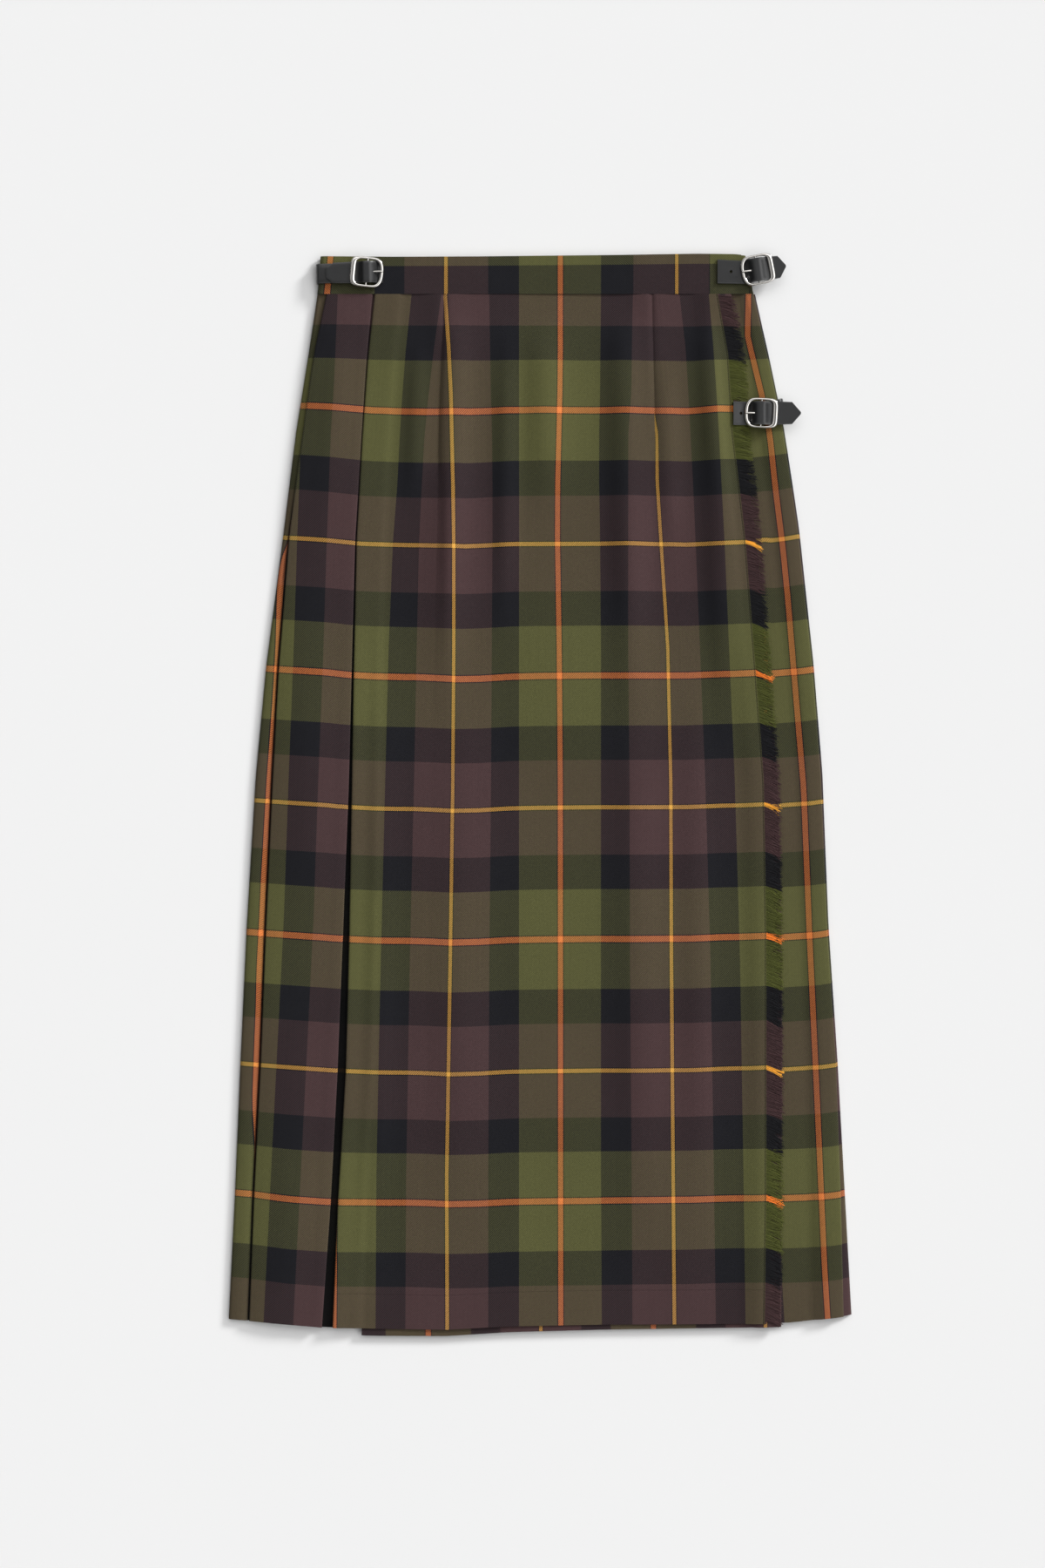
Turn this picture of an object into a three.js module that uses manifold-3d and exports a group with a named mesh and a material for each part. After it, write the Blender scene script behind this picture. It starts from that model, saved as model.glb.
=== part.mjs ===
// A kilt laid flat on its back: one long tartan cloth, folded and wrapped round to lie in layers.
// Millimetres. X runs across the front to its fringed edge, Y from the hem up to the waist, Z up.

import * as THREE from 'three';
import * as BufferGeometryUtils from 'three/addons/utils/BufferGeometryUtils.js';
import Module from 'manifold-3d';

const wasm = await Module();
wasm.setup();

// Driving sizes
const cloth = 1.1;             // thickness of one layer of wool
const gap = 0.3;               // air between two layers, and between two pieces at a seam
const bandCloth = 2.5;         // thickness of the lined, folded waistband
const leather = 1.8;
const rod = 1.0;               // half the thickness of a buckle's metal
const waistSeam = 411.2;       // height of the seam under the waistband
const bandTop = 443.6;
const returnDepth = 18;        // cloth turned under at the top apron's left edge
const underReturn = 16;        // cloth turned under at the under apron's right edge
const underStart = 23.6;       // under apron's free edge, in from the top apron's left edge
const foldShare = 0.42;        // how far each side of the left box pleat turns under, of its width
const sideFoldShare = 0.35;    // how far the right side pleat turns under, of what shows of it
const backPleats = 8;
const backDepthShare = 0.8;    // hidden depth of a back pleat, of the width that shows
const backRampShare = 0.12;    // length over which a back panel climbs under the next one
const strands = 160;
const rootWidth = 1.7;
const strandLength = 15;
const stripWidth = 2;

const layerStep = cloth + gap;
const layer = (n) => cloth / 2 + n * layerStep;

const colours = { wool: 0x4a4a35, band: 0x33352c, fringe: 0x4f5d2c, leather: 0x2a2a2c, steel: 0xd8d8d6 };
const wool = (colour) => new THREE.MeshStandardMaterial({ color: colour, roughness: 0.92, metalness: 0 });
const hide = () => new THREE.MeshStandardMaterial({ color: colours.leather, roughness: 0.5, metalness: 0 });
const steel = () => new THREE.MeshStandardMaterial({ color: colours.steel, roughness: 0.18, metalness: 1 });

// Where each long edge lies across the front, at heights from the waist seam down to the hem
const edgeNames = ['height', 'outerLeft', 'pleatLeft', 'pleatRight', 'apronLeft',
  'apronRight', 'underRight', 'sideRight', 'outerRight'];
const edgeRows = [
  [waistSeam, -183.2, -175.4, -137.6, -136.0, 145.7, 157.1, 176.1, 176.8],
  [359.3, -190.8, -186.1, -142.5, -141.4, 154.6, 161.4, 187.5, 188.1],
  [295.0, -200.6, -194.7, -146.8, -146.0, 158.4, 166.4, 200.0, 200.5],
  [209.1, -211.1, -205.9, -151.9, -150.8, 168.3, 177.1, 212.6, 213.1],
  [99.7, -225.4, -214.7, -154.8, -153.2, 177.0, 187.9, 224.3, 224.8],
  [8.9, -234.0, -219.7, -157.1, -154.6, 183.6, 195.0, 231.7, 232.2],
  [-116.2, -241.5, -225.4, -164.2, -156.8, 185.7, 198.6, 236.6, 237.2],
  [-227.0, -246.6, -229.7, -171.1, -159.7, 185.7, 198.6, 244.0, 244.6],
  [-334.3, -251.1, -235.1, -175.5, -166.1, 185.7, 198.2, 246.8, 250.5],
  [-436.5, -256.1, -239.0, -180.0, -170.4, 184.3, 197.9, 249.3, 256.1],
];

// How the cross threads rise at both sides and sag left of the middle, across the width
const riseAcross = [
  [-1, 5.7], [-0.93, 4.3], [-0.7, -0.7], [-0.5, -2.1], [-0.3, -2.7], [-0.1, 0],
  [0.2, 1.4], [0.7, 2.1], [0.8, 2.9], [0.95, 7.1], [1, 9.3],
];

// Soft folds that run down the top apron: from (x, y) to (x2, y2), half width and height
const softFolds = [
  { x: -52, y: 330, x2: -70, y2: 60, width: 26, height: 2.4 },
  { x: -4, y: 330, x2: 6, y2: -60, width: 30, height: 2.8 },
  { x: 40, y: 300, x2: 62, y2: -20, width: 24, height: 1.8 },
  { x: 104, y: 330, x2: 122, y2: 60, width: 24, height: 2.2 },
  { x: -110, y: 250, x2: -122, y2: -120, width: 22, height: 1.6 },
];

const middleOf = (a, b, t) => a + (b - a) * t;

// Value at a position in a table of [position, value] rows
function between(rows, position) {
  const rising = rows[rows.length - 1][0] > rows[0][0];
  for (let i = 1; i < rows.length; i++) {
    const inside = rising ? position <= rows[i][0] : position >= rows[i][0];
    if (inside || i === rows.length - 1) {
      const t = (position - rows[i - 1][0]) / (rows[i][0] - rows[i - 1][0]);
      return middleOf(rows[i - 1][1], rows[i][1], THREE.MathUtils.clamp(t, 0, 1));
    }
  }
  return 0;
}

function edgesAt(height) {
  const found = { height };
  edgeNames.slice(1).forEach((name, k) => {
    found[name] = between(edgeRows.map((row) => [row[0], row[k + 1]]), height);
  });
  return found;
}

// A cross thread's true height at x, for the thread that starts at this height on the centre line
function threadHeight(x, edges) {
  const width = edges.outerRight - edges.outerLeft;
  const across = (2 * (x - edges.outerLeft)) / width - 1;
  const share = THREE.MathUtils.smoothstep(waistSeam - edges.height, 0, 180);
  return edges.height + share * between(riseAcross, across);
}

function softLift(x, y) {
  let lift = 0;
  for (const fold of softFolds) {
    const along = THREE.MathUtils.clamp((fold.y - y) / (fold.y - fold.y2), -0.25, 1.25);
    const offset = (x - middleOf(fold.x, fold.x2, along)) / fold.width;
    const ends = THREE.MathUtils.smoothstep(along, -0.25, 0.25) * (1 - THREE.MathUtils.smoothstep(along, 0.6, 1.25));
    lift += fold.height * ends * Math.exp(-offset * offset);
  }
  return lift;
}

// A section drawn like a pen line: each point has a place, a height and the side the wall faces
class Section {
  constructor(x, z, heading) {
    this.points = [{ x, z, fixed: false }];
    this.heading = heading;
  }

  run(x, z) {
    this.points.push({ x, z, fixed: false });
    return this;
  }

  // Runs to the fold whose outer edge is at x, turns over and comes back at the height nextZ
  fold(edge, nextZ, thickness = cloth, corners = 1) {
    const from = this.points[this.points.length - 1].z;
    const radius = Math.abs(nextZ - from) / 2;
    const centreX = edge - this.heading * (radius + thickness / 2);
    const turn = Math.sign(nextZ - from);
    const steps = 2 * corners;
    for (let k = 0; k <= steps; k++) {
      const angle = (Math.PI * k) / steps;
      this.points.push({
        x: centreX + this.heading * radius * Math.sin(angle),
        z: (from + nextZ) / 2 - turn * radius * Math.cos(angle),
        nx: -turn * Math.sin(angle),
        nz: this.heading * Math.cos(angle),
        fixed: true,
      });
    }
    this.heading = -this.heading;
    return this;
  }

  finished() {
    const list = this.points;
    return list.map((point, i) => {
      if (point.fixed) return point;
      const before = list[Math.max(i - 1, 0)];
      const after = list[Math.min(i + 1, list.length - 1)];
      const run = Math.hypot(after.x - before.x, after.z - before.z);
      return { ...point, nx: -(after.z - before.z) / run, nz: (after.x - before.x) / run };
    });
  }
}

// Closed mesh between two grids of points that face each other
function solidBetween(front, back) {
  const rows = front.length;
  const columns = front[0].length;
  const positions = [...front.flat(), ...back.flat()].flatMap((p) => [p.x, p.y, p.z]);
  const indices = [];
  const at = (side, j, i) => side * rows * columns + j * columns + i;
  const quad = (a, b, c, d) => indices.push(a, b, c, a, c, d);
  for (let j = 0; j < rows - 1; j++) {
    for (let i = 0; i < columns - 1; i++) {
      quad(at(0, j, i), at(0, j, i + 1), at(0, j + 1, i + 1), at(0, j + 1, i));
      quad(at(1, j, i), at(1, j + 1, i), at(1, j + 1, i + 1), at(1, j, i + 1));
    }
    quad(at(0, j, 0), at(0, j + 1, 0), at(1, j + 1, 0), at(1, j, 0));
    quad(at(0, j, columns - 1), at(1, j, columns - 1), at(1, j + 1, columns - 1), at(0, j + 1, columns - 1));
  }
  for (let i = 0; i < columns - 1; i++) {
    quad(at(0, 0, i), at(1, 0, i), at(1, 0, i + 1), at(0, 0, i + 1));
    quad(at(0, rows - 1, i), at(0, rows - 1, i + 1), at(1, rows - 1, i + 1), at(1, rows - 1, i));
  }
  const geometry = new THREE.BufferGeometry();
  geometry.setAttribute('position', new THREE.Float32BufferAttribute(positions, 3));
  geometry.setIndex(signedIndex(positions, indices));
  return geometry;
}

// The same faces, turned over if they look inwards
function signedIndex(positions, indices) {
  const corner = (k) => new THREE.Vector3().fromArray(positions, 3 * indices[k]);
  let volume = 0;
  for (let k = 0; k < indices.length; k += 3) volume += corner(k).dot(corner(k + 1).cross(corner(k + 2)));
  return volume < 0 ? indices.toReversed() : indices;
}

// Wall of cloth: one section for each height, each point moved half the thickness to both sides
function clothWall(sections, thickness) {
  const side = (sign) => sections.map(({ points, heightAt }) => points.map((p) => {
    const y = heightAt(p.x);
    return new THREE.Vector3(p.x + (sign * p.nx * thickness) / 2, y, p.z + (sign * p.nz * thickness) / 2);
  }));
  return solidBetween(side(1), side(-1));
}

function named(name, geometry, material) {
  const flat = geometry.index ? geometry.toNonIndexed() : geometry;
  flat.computeVertexNormals();
  const mesh = new THREE.Mesh(flat, material);
  mesh.name = name;
  return mesh;
}

function toSolid(geometry) {
  const bare = geometry.clone();
  bare.deleteAttribute('normal');
  bare.deleteAttribute('uv');
  const merged = BufferGeometryUtils.mergeVertices(bare, 1e-4);
  return new wasm.Manifold(new wasm.Mesh({
    numProp: 3,
    vertProperties: new Float32Array(merged.getAttribute('position').array),
    triVerts: new Uint32Array(merged.getIndex().array),
  }));
}

function fromSolid(solid) {
  const mesh = solid.getMesh();
  const geometry = new THREE.BufferGeometry();
  geometry.setAttribute('position', new THREE.BufferAttribute(new Float32Array(mesh.vertProperties), 3));
  geometry.setIndex(new THREE.BufferAttribute(new Uint32Array(mesh.triVerts), 1));
  return geometry;
}

// Rows of the body cloth, ending a gap short of the waistband
const bodyHeights = edgeRows.map((row, k) => (k === 0 ? waistSeam - gap : row[0]));

// The pleated cloth: left box pleat, left side, eight knife pleats behind, and the right side pleat
function pleatedCloth() {
  const sections = bodyHeights.map((height) => {
    const e = edgesAt(height);
    const pleat = e.pleatRight - e.pleatLeft;
    const pen = new Section(e.apronLeft + returnDepth, layer(3), -1);
    pen.fold(e.pleatRight - foldShare * pleat, layer(4));
    pen.fold(e.pleatRight, layer(5));
    pen.fold(e.pleatLeft, layer(4));
    pen.fold(e.pleatLeft + foldShare * pleat, layer(3));
    pen.fold(e.outerLeft, layer(0), cloth, 2);

    const width = e.outerRight - e.outerLeft;
    const first = e.outerLeft + 0.06 * width;
    const panel = (0.84 * width) / (backPleats - 1);
    for (let k = 0; k < backPleats; k++) {
      const edge = first + k * panel;
      pen.run(edge - backRampShare * panel, layer(0));
      pen.run(edge - 0.5, layer(2));
      pen.fold(edge + (k < backPleats - 1 ? backDepthShare : 0.6) * panel, layer(1));
      pen.fold(edge, layer(0));
    }

    const side = e.sideRight - e.underRight;
    const turn = e.sideRight - sideFoldShare * side;
    pen.fold(e.outerRight, layer(3), cloth, 2);
    pen.fold(turn, layer(4));
    pen.fold(e.sideRight, layer(5));
    pen.run(turn, layer(5));
    pen.run(turn - 5, layer(3));
    pen.run(e.underRight - underReturn, layer(3));
    return { points: pen.finished(), heightAt: (x) => threadHeight(x, e) };
  });
  return named('pleated_cloth', clothWall(sections, cloth), wool(colours.wool));
}

const lowestSag = 6.08;        // how far the under apron's free corner hangs below the top apron

// The under apron lies over the pleated cloth and hangs a little lower than the top apron
function underApron() {
  const sections = bodyHeights.map((height) => {
    const e = edgesAt(height);
    const left = e.apronLeft + underStart;
    const sag = (x) => THREE.MathUtils.lerp(lowestSag, 3, (x - left) / (e.underRight - left));
    const lower = (waistSeam - height) / (waistSeam - bodyHeights[bodyHeights.length - 1]);
    const pen = new Section(e.underRight - underReturn, layer(4), 1);
    pen.fold(e.underRight, layer(5));
    pen.run(e.underRight - underReturn - 0.6, layer(5));
    pen.run(e.underRight - underReturn - 7, layer(3));
    for (const share of [0.75, 0.5, 0.25, 0]) pen.run(middleOf(left, e.underRight - 30, share), layer(3));
    return { points: pen.finished(), heightAt: (x) => threadHeight(x, e) - sag(x) * lower };
  });
  return named('under_apron', clothWall(sections, cloth), wool(colours.wool));
}

const apronRaised = 24.5;      // the top apron climbs over the under apron's folded edge from here
const apronColumns = 16;
const apronHeights = bodyHeights.flatMap((height, k) => {
  const next = bodyHeights[k + 1];
  return next === undefined ? [height] : [height, (height + next) / 2];
});

// The top apron: its left edge is turned under, its right edge carries the fringe
function topApron() {
  const sections = apronHeights.map((height) => {
    const e = edgesAt(height);
    const start = e.underRight - apronRaised;
    const end = e.apronLeft + returnDepth + 7;
    const pen = new Section(e.apronRight, layer(6), -1);
    pen.run(start + 7, layer(6));
    pen.run(start, layer(4));
    for (let i = 1; i < apronColumns; i++) {
      const x = middleOf(start, end, i / apronColumns);
      pen.run(x, layer(4) + softLift(x, height));
    }
    pen.run(end, layer(4));
    pen.run(end - 6, layer(5));
    pen.fold(e.apronLeft, layer(4));
    pen.run(e.apronLeft + returnDepth, layer(4));
    return { points: pen.finished(), heightAt: (x) => threadHeight(x, e) };
  });
  return named('top_apron', clothWall(sections, cloth), wool(colours.wool));
}

// The waistband goes round once and a half: front, left edge, back, right edge, under apron
function waistband() {
  const back = bandCloth / 2;
  const under = back + bandCloth + gap;
  const front = under + bandCloth + gap;
  const shape = [
    { share: 0, left: -183.6, right: 175.5, end: 172.5 },
    { share: 0.5, left: -182.4, right: 172.5, end: 169.5 },
    { share: 1, left: -181.4, right: 169.0, end: 165.0 },
  ];
  const sections = shape.map(({ share, left, right, end }) => {
    const pen = new Section(end, front, -1);
    for (const x of [110, 55, 0, -55, -110]) pen.run(x, front);
    pen.fold(left, back, bandCloth, 2);
    for (const x of [-110, -55, 0, 55, 110]) pen.run(x, back);
    pen.fold(right, under, bandCloth, 2);
    for (const x of [110, 55, 0, -55]) pen.run(x, under);
    pen.run(-136 + underStart, under);
    const arch = (x) => -1.8 * share * Math.abs(x / 180) ** 3;
    return { points: pen.finished(), heightAt: (x) => middleOf(waistSeam, bandTop, share) + arch(x) };
  });
  return named('waistband', clothWall(sections, bandCloth), wool(colours.band));
}

// Fringe: strands that lean down from a narrow strip beside the top apron's edge, except at the strap
const hipStrapTop = 335;
const hipStrapBottom = 302;

function apronEdge(height) {
  const e = edgesAt(height);
  return new THREE.Vector3(e.apronRight + gap, threadHeight(e.apronRight, e), layer(6));
}

// A comb: rows down the strip, and between each pair of rows at a root a strand grows out
function apronFringe() {
  const top = bodyHeights[0];
  const bottom = bodyHeights[bodyHeights.length - 1];
  const roots = [];
  for (let k = 0; k < strands; k++) {
    const height = middleOf(top - 4, bottom + strandLength / 2, k / (strands - 1));
    if (height < hipStrapTop && height > hipStrapBottom) continue;
    roots.push(height + rootWidth / 2, height - rootWidth / 2);
  }
  const points = [];
  const faces = [];
  const quad = (a, b, c, d) => faces.push(a, b, c, a, c, d);
  const ring = (middle, out) => [[0, 0.5], [out, 0.5], [out, -0.5], [0, -0.5]].map(([x, up]) => {
    points.push(middle.x + x, middle.y, middle.z + up * cloth);
    return points.length / 3 - 1;
  });
  const rings = [top, ...roots, bottom].map((height) => ring(apronEdge(height), stripWidth));
  for (let j = 0; j < rings.length - 1; j++) {
    const [a, b] = [rings[j], rings[j + 1]];
    quad(a[0], a[1], b[1], b[0]);
    quad(a[2], a[3], b[3], b[2]);
    quad(a[3], a[0], b[0], b[3]);
    const root = [a[1], a[2], b[2], b[1]];
    if (j % 2 === 0) quad(...root);
    else growStrand(points, quad, root, 0.5 + 0.12 * Math.sin(j * 0.85));
  }
  quad(...rings[0].toReversed());
  quad(...rings[rings.length - 1]);
  const geometry = new THREE.BufferGeometry();
  geometry.setAttribute('position', new THREE.Float32BufferAttribute(points, 3));
  geometry.setIndex(signedIndex(points, faces));
  return named('apron_fringe', geometry, wool(colours.fringe));
}

// A strand from the four root corners, leaning down by this angle and thinner at its free end
function growStrand(points, quad, root, droop) {
  const corner = (k) => new THREE.Vector3(points[3 * k], points[3 * k + 1], points[3 * k + 2]);
  const middle = root.reduce((sum, k) => sum.add(corner(k)), new THREE.Vector3()).multiplyScalar(0.25);
  const tip = root.map((k) => {
    const offset = corner(k).sub(middle).multiply(new THREE.Vector3(1, 0.6, 0.7));
    const end = middle.clone().add(offset);
    end.x += strandLength * Math.cos(droop);
    end.y -= strandLength * Math.sin(droop);
    points.push(end.x, end.y, end.z);
    return points.length / 3 - 1;
  });
  for (let k = 0; k < 4; k++) {
    const n = (k + 1) % 4;
    quad(root[k], root[n], tip[n], tip[k]);
  }
  quad(...tip);
}

// Leather ribbon: rows of place along, place aside, height and width
function ribbon(rows) {
  const across = new THREE.Vector3(0, 1, 0);
  const side = (sign) => rows.map((row, k) => {
    const before = rows[Math.max(k - 1, 0)];
    const after = rows[Math.min(k + 1, rows.length - 1)];
    const along = new THREE.Vector3(after.x - before.x, after.y - before.y, after.z - before.z).normalize();
    const up = new THREE.Vector3().crossVectors(along, across).normalize();
    return [-0.5, 0.5].map((share) => new THREE.Vector3(row.x, row.y, row.z)
      .addScaledVector(across, share * row.width).addScaledVector(up, (sign * leather) / 2));
  });
  return solidBetween(side(1), side(-1));
}

// Heights of the pieces of a buckle over the surface it lies on, at 8.1 mm
const lyingOn = layer(5) + cloth / 2;
const lowLeather = lyingOn + gap + leather / 2;
const highLeather = lowLeather + leather + gap;
const prongSide = lowLeather + leather / 2 + gap + rod;
const heelSide = highLeather + leather / 2 + gap + rod;
const barHeight = (prongSide + heelSide) / 2;
const overBar = barHeight + rod + gap + leather / 2;

const frameLong = 27.4;
const frameWide = 25;
const prongReach = frameLong / 2 - rod;
const heelBand = 3.4;          // the frame is widest on the side that the strap's tip goes under
const frameCorner = 6.5;
const prongHole = 1.2;

// Buckles: place of the frame's middle, turn of the set, further turn of the frame, and the leather
const buckles = [
  { name: 'left', x: -142.1, y: 428.6, turn: 181.5, frameTurn: -7, strapWidth: 17.6, tabWidth: 16,
    tail: [[-14.2, 0, lowLeather]], corner: 27.5, tip: 33.5, tipWidth: 8,
    tabTurn: 0, tab: [[41.9, 0, 1.6], [42.2, 0, 6.6], [40.8, 0, 8.9], [37.4, 0, lowLeather]] },
  { name: 'upper_right', x: 178.2, y: 430.4, turn: 8, frameTurn: 3, strapWidth: 19.2, tabWidth: 17,
    tail: [[-32.5, 3.6, lowLeather], [-14.2, 0.4, lowLeather]], corner: 17.7, tip: 23.5, tipWidth: 1.6,
    spareHole: [-21.5, 1.8],
    tabTurn: 0, tab: [[0.4, 0, 1.6], [0.4, 0, 6]] },
  { name: 'hip', x: 181.2, y: 313.0, turn: 0, frameTurn: -3, strapWidth: 19.2, tabWidth: 17,
    tail: [[-22.8, 0, highLeather - 0.5], [-19.6, 0, highLeather - 0.6], [-15.6, 0, lowLeather]],
    corner: 25.4, tip: 32.6, tipWidth: 1.6, spareHole: [-16.4, 0],
    tabTurn: 9, tab: [[18.2, 1, 1.6], [18.9, 1, 6.2], [17.2, 1, 9.0], [15, 0.6, lowLeather]] },
];

// Height of the strap along the buckle: under the prong side, over the bar, under the heel side
const strapWave = [
  [-10.6, lowLeather], [-8.6, lowLeather + 0.6], [-5.4, overBar - 1.8], [-2.6, overBar - 0.2], [0, overBar],
  [2.6, overBar - 0.2], [5.2, overBar - 1.8], [7.4, highLeather + 0.4], [8.8, highLeather],
];

function prongAxis() {
  return {
    from: new THREE.Vector3(-rod - gap - 0.1, 0, barHeight + 0.05),
    to: new THREE.Vector3(-prongReach - 1.2, 0, prongSide + rod + gap + 0.75),
  };
}

function rodBetween(from, to, radius, farRadius = radius) {
  const geometry = new THREE.CylinderGeometry(farRadius, radius, from.distanceTo(to), 8);
  const turn = new THREE.Quaternion().setFromUnitVectors(
    new THREE.Vector3(0, 1, 0), to.clone().sub(from).normalize());
  geometry.applyQuaternion(turn);
  const middle = from.clone().add(to).multiplyScalar(0.5);
  geometry.translate(middle.x, middle.y, middle.z);
  return geometry;
}

function buckleStrap(set) {
  const rows = [
    ...set.tail.map(([x, y, z]) => ({ x, y, z, width: set.strapWidth })),
    ...strapWave.map(([x, z]) => ({ x, y: 0, z, width: set.strapWidth })),
    { x: set.corner, y: 0, z: highLeather, width: set.strapWidth * 0.94 },
    { x: set.tip, y: 0, z: highLeather, width: set.tipWidth },
  ];
  const { from, to } = prongAxis();
  let solid = toSolid(ribbon(rows)).subtract(toSolid(rodBetween(from, to, prongHole)));
  if (set.spareHole) {
    const [x, y] = set.spareHole;
    const punch = rodBetween(new THREE.Vector3(x, y, lyingOn), new THREE.Vector3(x, y, overBar), prongHole);
    solid = solid.subtract(toSolid(punch));
  }
  return named(`${set.name}_strap`, fromSolid(solid), hide());
}

function buckleTab(set) {
  const rows = set.tab.map(([x, y, z]) => ({ x, y, z, width: set.tabWidth }));
  const skew = (set.tabWidth / 2) * Math.sin(THREE.MathUtils.degToRad(set.tabTurn));
  const stop = rod + gap + 0.4 + skew;
  if (set.tab.length > 2) {
    rows.push({ x: 6.5, y: 0, z: lowLeather, width: set.tabWidth });
    rows.push({ x: stop, y: 0, z: barHeight - 1.2, width: set.tabWidth });
  } else {
    rows.push({ x: 0.4, y: 0, z: barHeight - rod - gap - 0.2, width: set.tabWidth });
  }
  const mesh = named(`${set.name}_tab`, ribbon(rows), hide());
  mesh.rotation.z = THREE.MathUtils.degToRad(set.tabTurn);
  return mesh;
}

function roundedOutline(path, left, right, half, corner) {
  path.moveTo(left + corner, -half);
  path.absarc(right - corner, -half + corner, corner, -Math.PI / 2, 0, false);
  path.absarc(right - corner, half - corner, corner, 0, Math.PI / 2, false);
  path.absarc(left + corner, half - corner, corner, Math.PI / 2, Math.PI, false);
  path.absarc(left + corner, -half + corner, corner, Math.PI, 1.5 * Math.PI, false);
  path.closePath();
  return path;
}

function buckleFrame(set) {
  const bevel = 0.6;
  const half = frameWide / 2;
  const long = frameLong / 2;
  const ring = roundedOutline(new THREE.Shape(), -long + bevel, long - bevel, half - bevel, frameCorner - bevel);
  const inside = [-long + 2 * rod - bevel, long - heelBand + bevel, half - 2 * rod + bevel];
  ring.holes.push(roundedOutline(new THREE.Path(), inside[0], inside[1], inside[2], frameCorner - 2 * rod));
  const geometry = new THREE.ExtrudeGeometry(ring, {
    depth: 2 * rod - 2 * bevel, bevelEnabled: true, bevelThickness: bevel, bevelSize: bevel,
    bevelSegments: 1, curveSegments: 4,
  });
  geometry.translate(0, 0, bevel - rod);
  const bar = rodBetween(new THREE.Vector3(0, -half + rod, 0), new THREE.Vector3(0, half - rod, 0), 0.9);
  const joined = fromSolid(toSolid(geometry).add(toSolid(bar)));
  joined.applyMatrix4(new THREE.Matrix4().makeRotationY(-Math.atan2(heelSide - prongSide, frameLong - 2 * rod)));
  const mesh = named(`${set.name}_buckle`, joined, steel());
  mesh.position.z = barHeight;
  mesh.rotation.z = THREE.MathUtils.degToRad(set.frameTurn);
  return mesh;
}

function bucklePin(set) {
  const { from, to } = prongAxis();
  return named(`${set.name}_prong`, rodBetween(from, to, 0.85, 0.65), steel());
}

function buckleSet(set) {
  const group = new THREE.Group();
  group.add(buckleStrap(set), buckleTab(set), buckleFrame(set), bucklePin(set));
  group.position.set(set.x, set.y, 0);
  group.rotation.z = THREE.MathUtils.degToRad(set.turn);
  return group;
}

const kilt = new THREE.Group();
kilt.add(pleatedCloth(), underApron(), topApron(), waistband(), apronFringe());
buckles.forEach((set) => kilt.add(buckleSet(set)));

export default kilt;
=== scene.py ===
import math
import random
import bpy
from mathutils import Matrix, Vector


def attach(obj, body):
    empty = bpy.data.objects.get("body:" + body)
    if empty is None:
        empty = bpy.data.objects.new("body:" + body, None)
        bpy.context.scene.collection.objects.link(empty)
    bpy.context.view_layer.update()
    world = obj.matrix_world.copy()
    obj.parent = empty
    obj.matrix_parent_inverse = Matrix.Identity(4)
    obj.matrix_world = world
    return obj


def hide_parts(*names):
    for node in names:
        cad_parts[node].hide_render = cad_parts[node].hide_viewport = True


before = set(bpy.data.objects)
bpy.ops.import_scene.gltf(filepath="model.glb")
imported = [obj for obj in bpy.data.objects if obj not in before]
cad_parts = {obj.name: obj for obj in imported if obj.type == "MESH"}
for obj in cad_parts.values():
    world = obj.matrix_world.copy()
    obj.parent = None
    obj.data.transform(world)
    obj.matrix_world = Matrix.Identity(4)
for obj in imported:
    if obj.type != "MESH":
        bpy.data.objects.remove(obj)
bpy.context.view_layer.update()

# A kilt laid flat. Tables are in millimetres and in the CAD frame; meshes are made in metres.
MM = 0.001
CLOTH = 1.1
GAP = 0.3
TURN_RADIUS = (CLOTH + GAP) / 2
BAND_CLOTH = 2.5
LEATHER = 1.8
ROD = 1.0               # half the thickness of a buckle's wire
WAIST_SEAM = 411.2
BAND_TOP = 443.6
BODY_TOP = WAIST_SEAM - 0.1
HEM = -436.5
WARP_SETT = 186.5       # width of one repeat of the tartan
WEFT_SETT = 216.2       # its height
WEFT_ORANGE = 99.0      # height of one orange cross stripe


def layer(n):
    return CLOTH / 2 + n * (CLOTH + GAP)


# Long edges across the front, from the waist seam down to the hem
EDGE_NAMES = ("outer_left", "pleat_left", "pleat_right", "apron_left",
              "apron_right", "under_right", "side_right", "outer_right")
EDGE_ROWS = (
    (411.2, -183.2, -175.4, -137.6, -136, 145.7, 157.1, 175.3, 176.8),
    (359.3, -190.8, -186.1, -142.5, -141.4, 154.6, 161.4, 186.6, 188.1),
    (295, -200.6, -194.7, -146.8, -146, 158.4, 166.4, 199, 200.5),
    (209.1, -211.1, -205.9, -151.9, -150.8, 168.3, 177.1, 211.6, 213.1),
    (99.7, -225.4, -214.7, -154.8, -153.2, 177, 187.9, 223.2, 224.8),
    (8.9, -234, -219.7, -157.1, -154.6, 183.6, 195, 230.6, 232.2),
    (-116.2, -241.5, -225.4, -162, -156.8, 185.7, 198.6, 235.6, 237.2),
    (-227, -246.6, -229.7, -166.4, -159.7, 185.7, 198.6, 243, 244.6),
    (-334.3, -251.1, -235.1, -172, -166.1, 185.7, 198.2, 246.8, 250.5),
    (-436.5, -256.1, -239, -179.2, -170.4, 184.3, 197.9, 249.3, 256.1),
)

# How the cross threads rise at both sides and sag left of the middle
RISE_ACROSS = ((-1, 5.7), (-0.93, 4.3), (-0.7, -0.7), (-0.5, -2.1), (-0.3, -2.7), (-0.1, 0),
               (0.2, 1.4), (0.7, 2.1), (0.8, 2.9), (0.95, 7.1), (1, 9.3))

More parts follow.
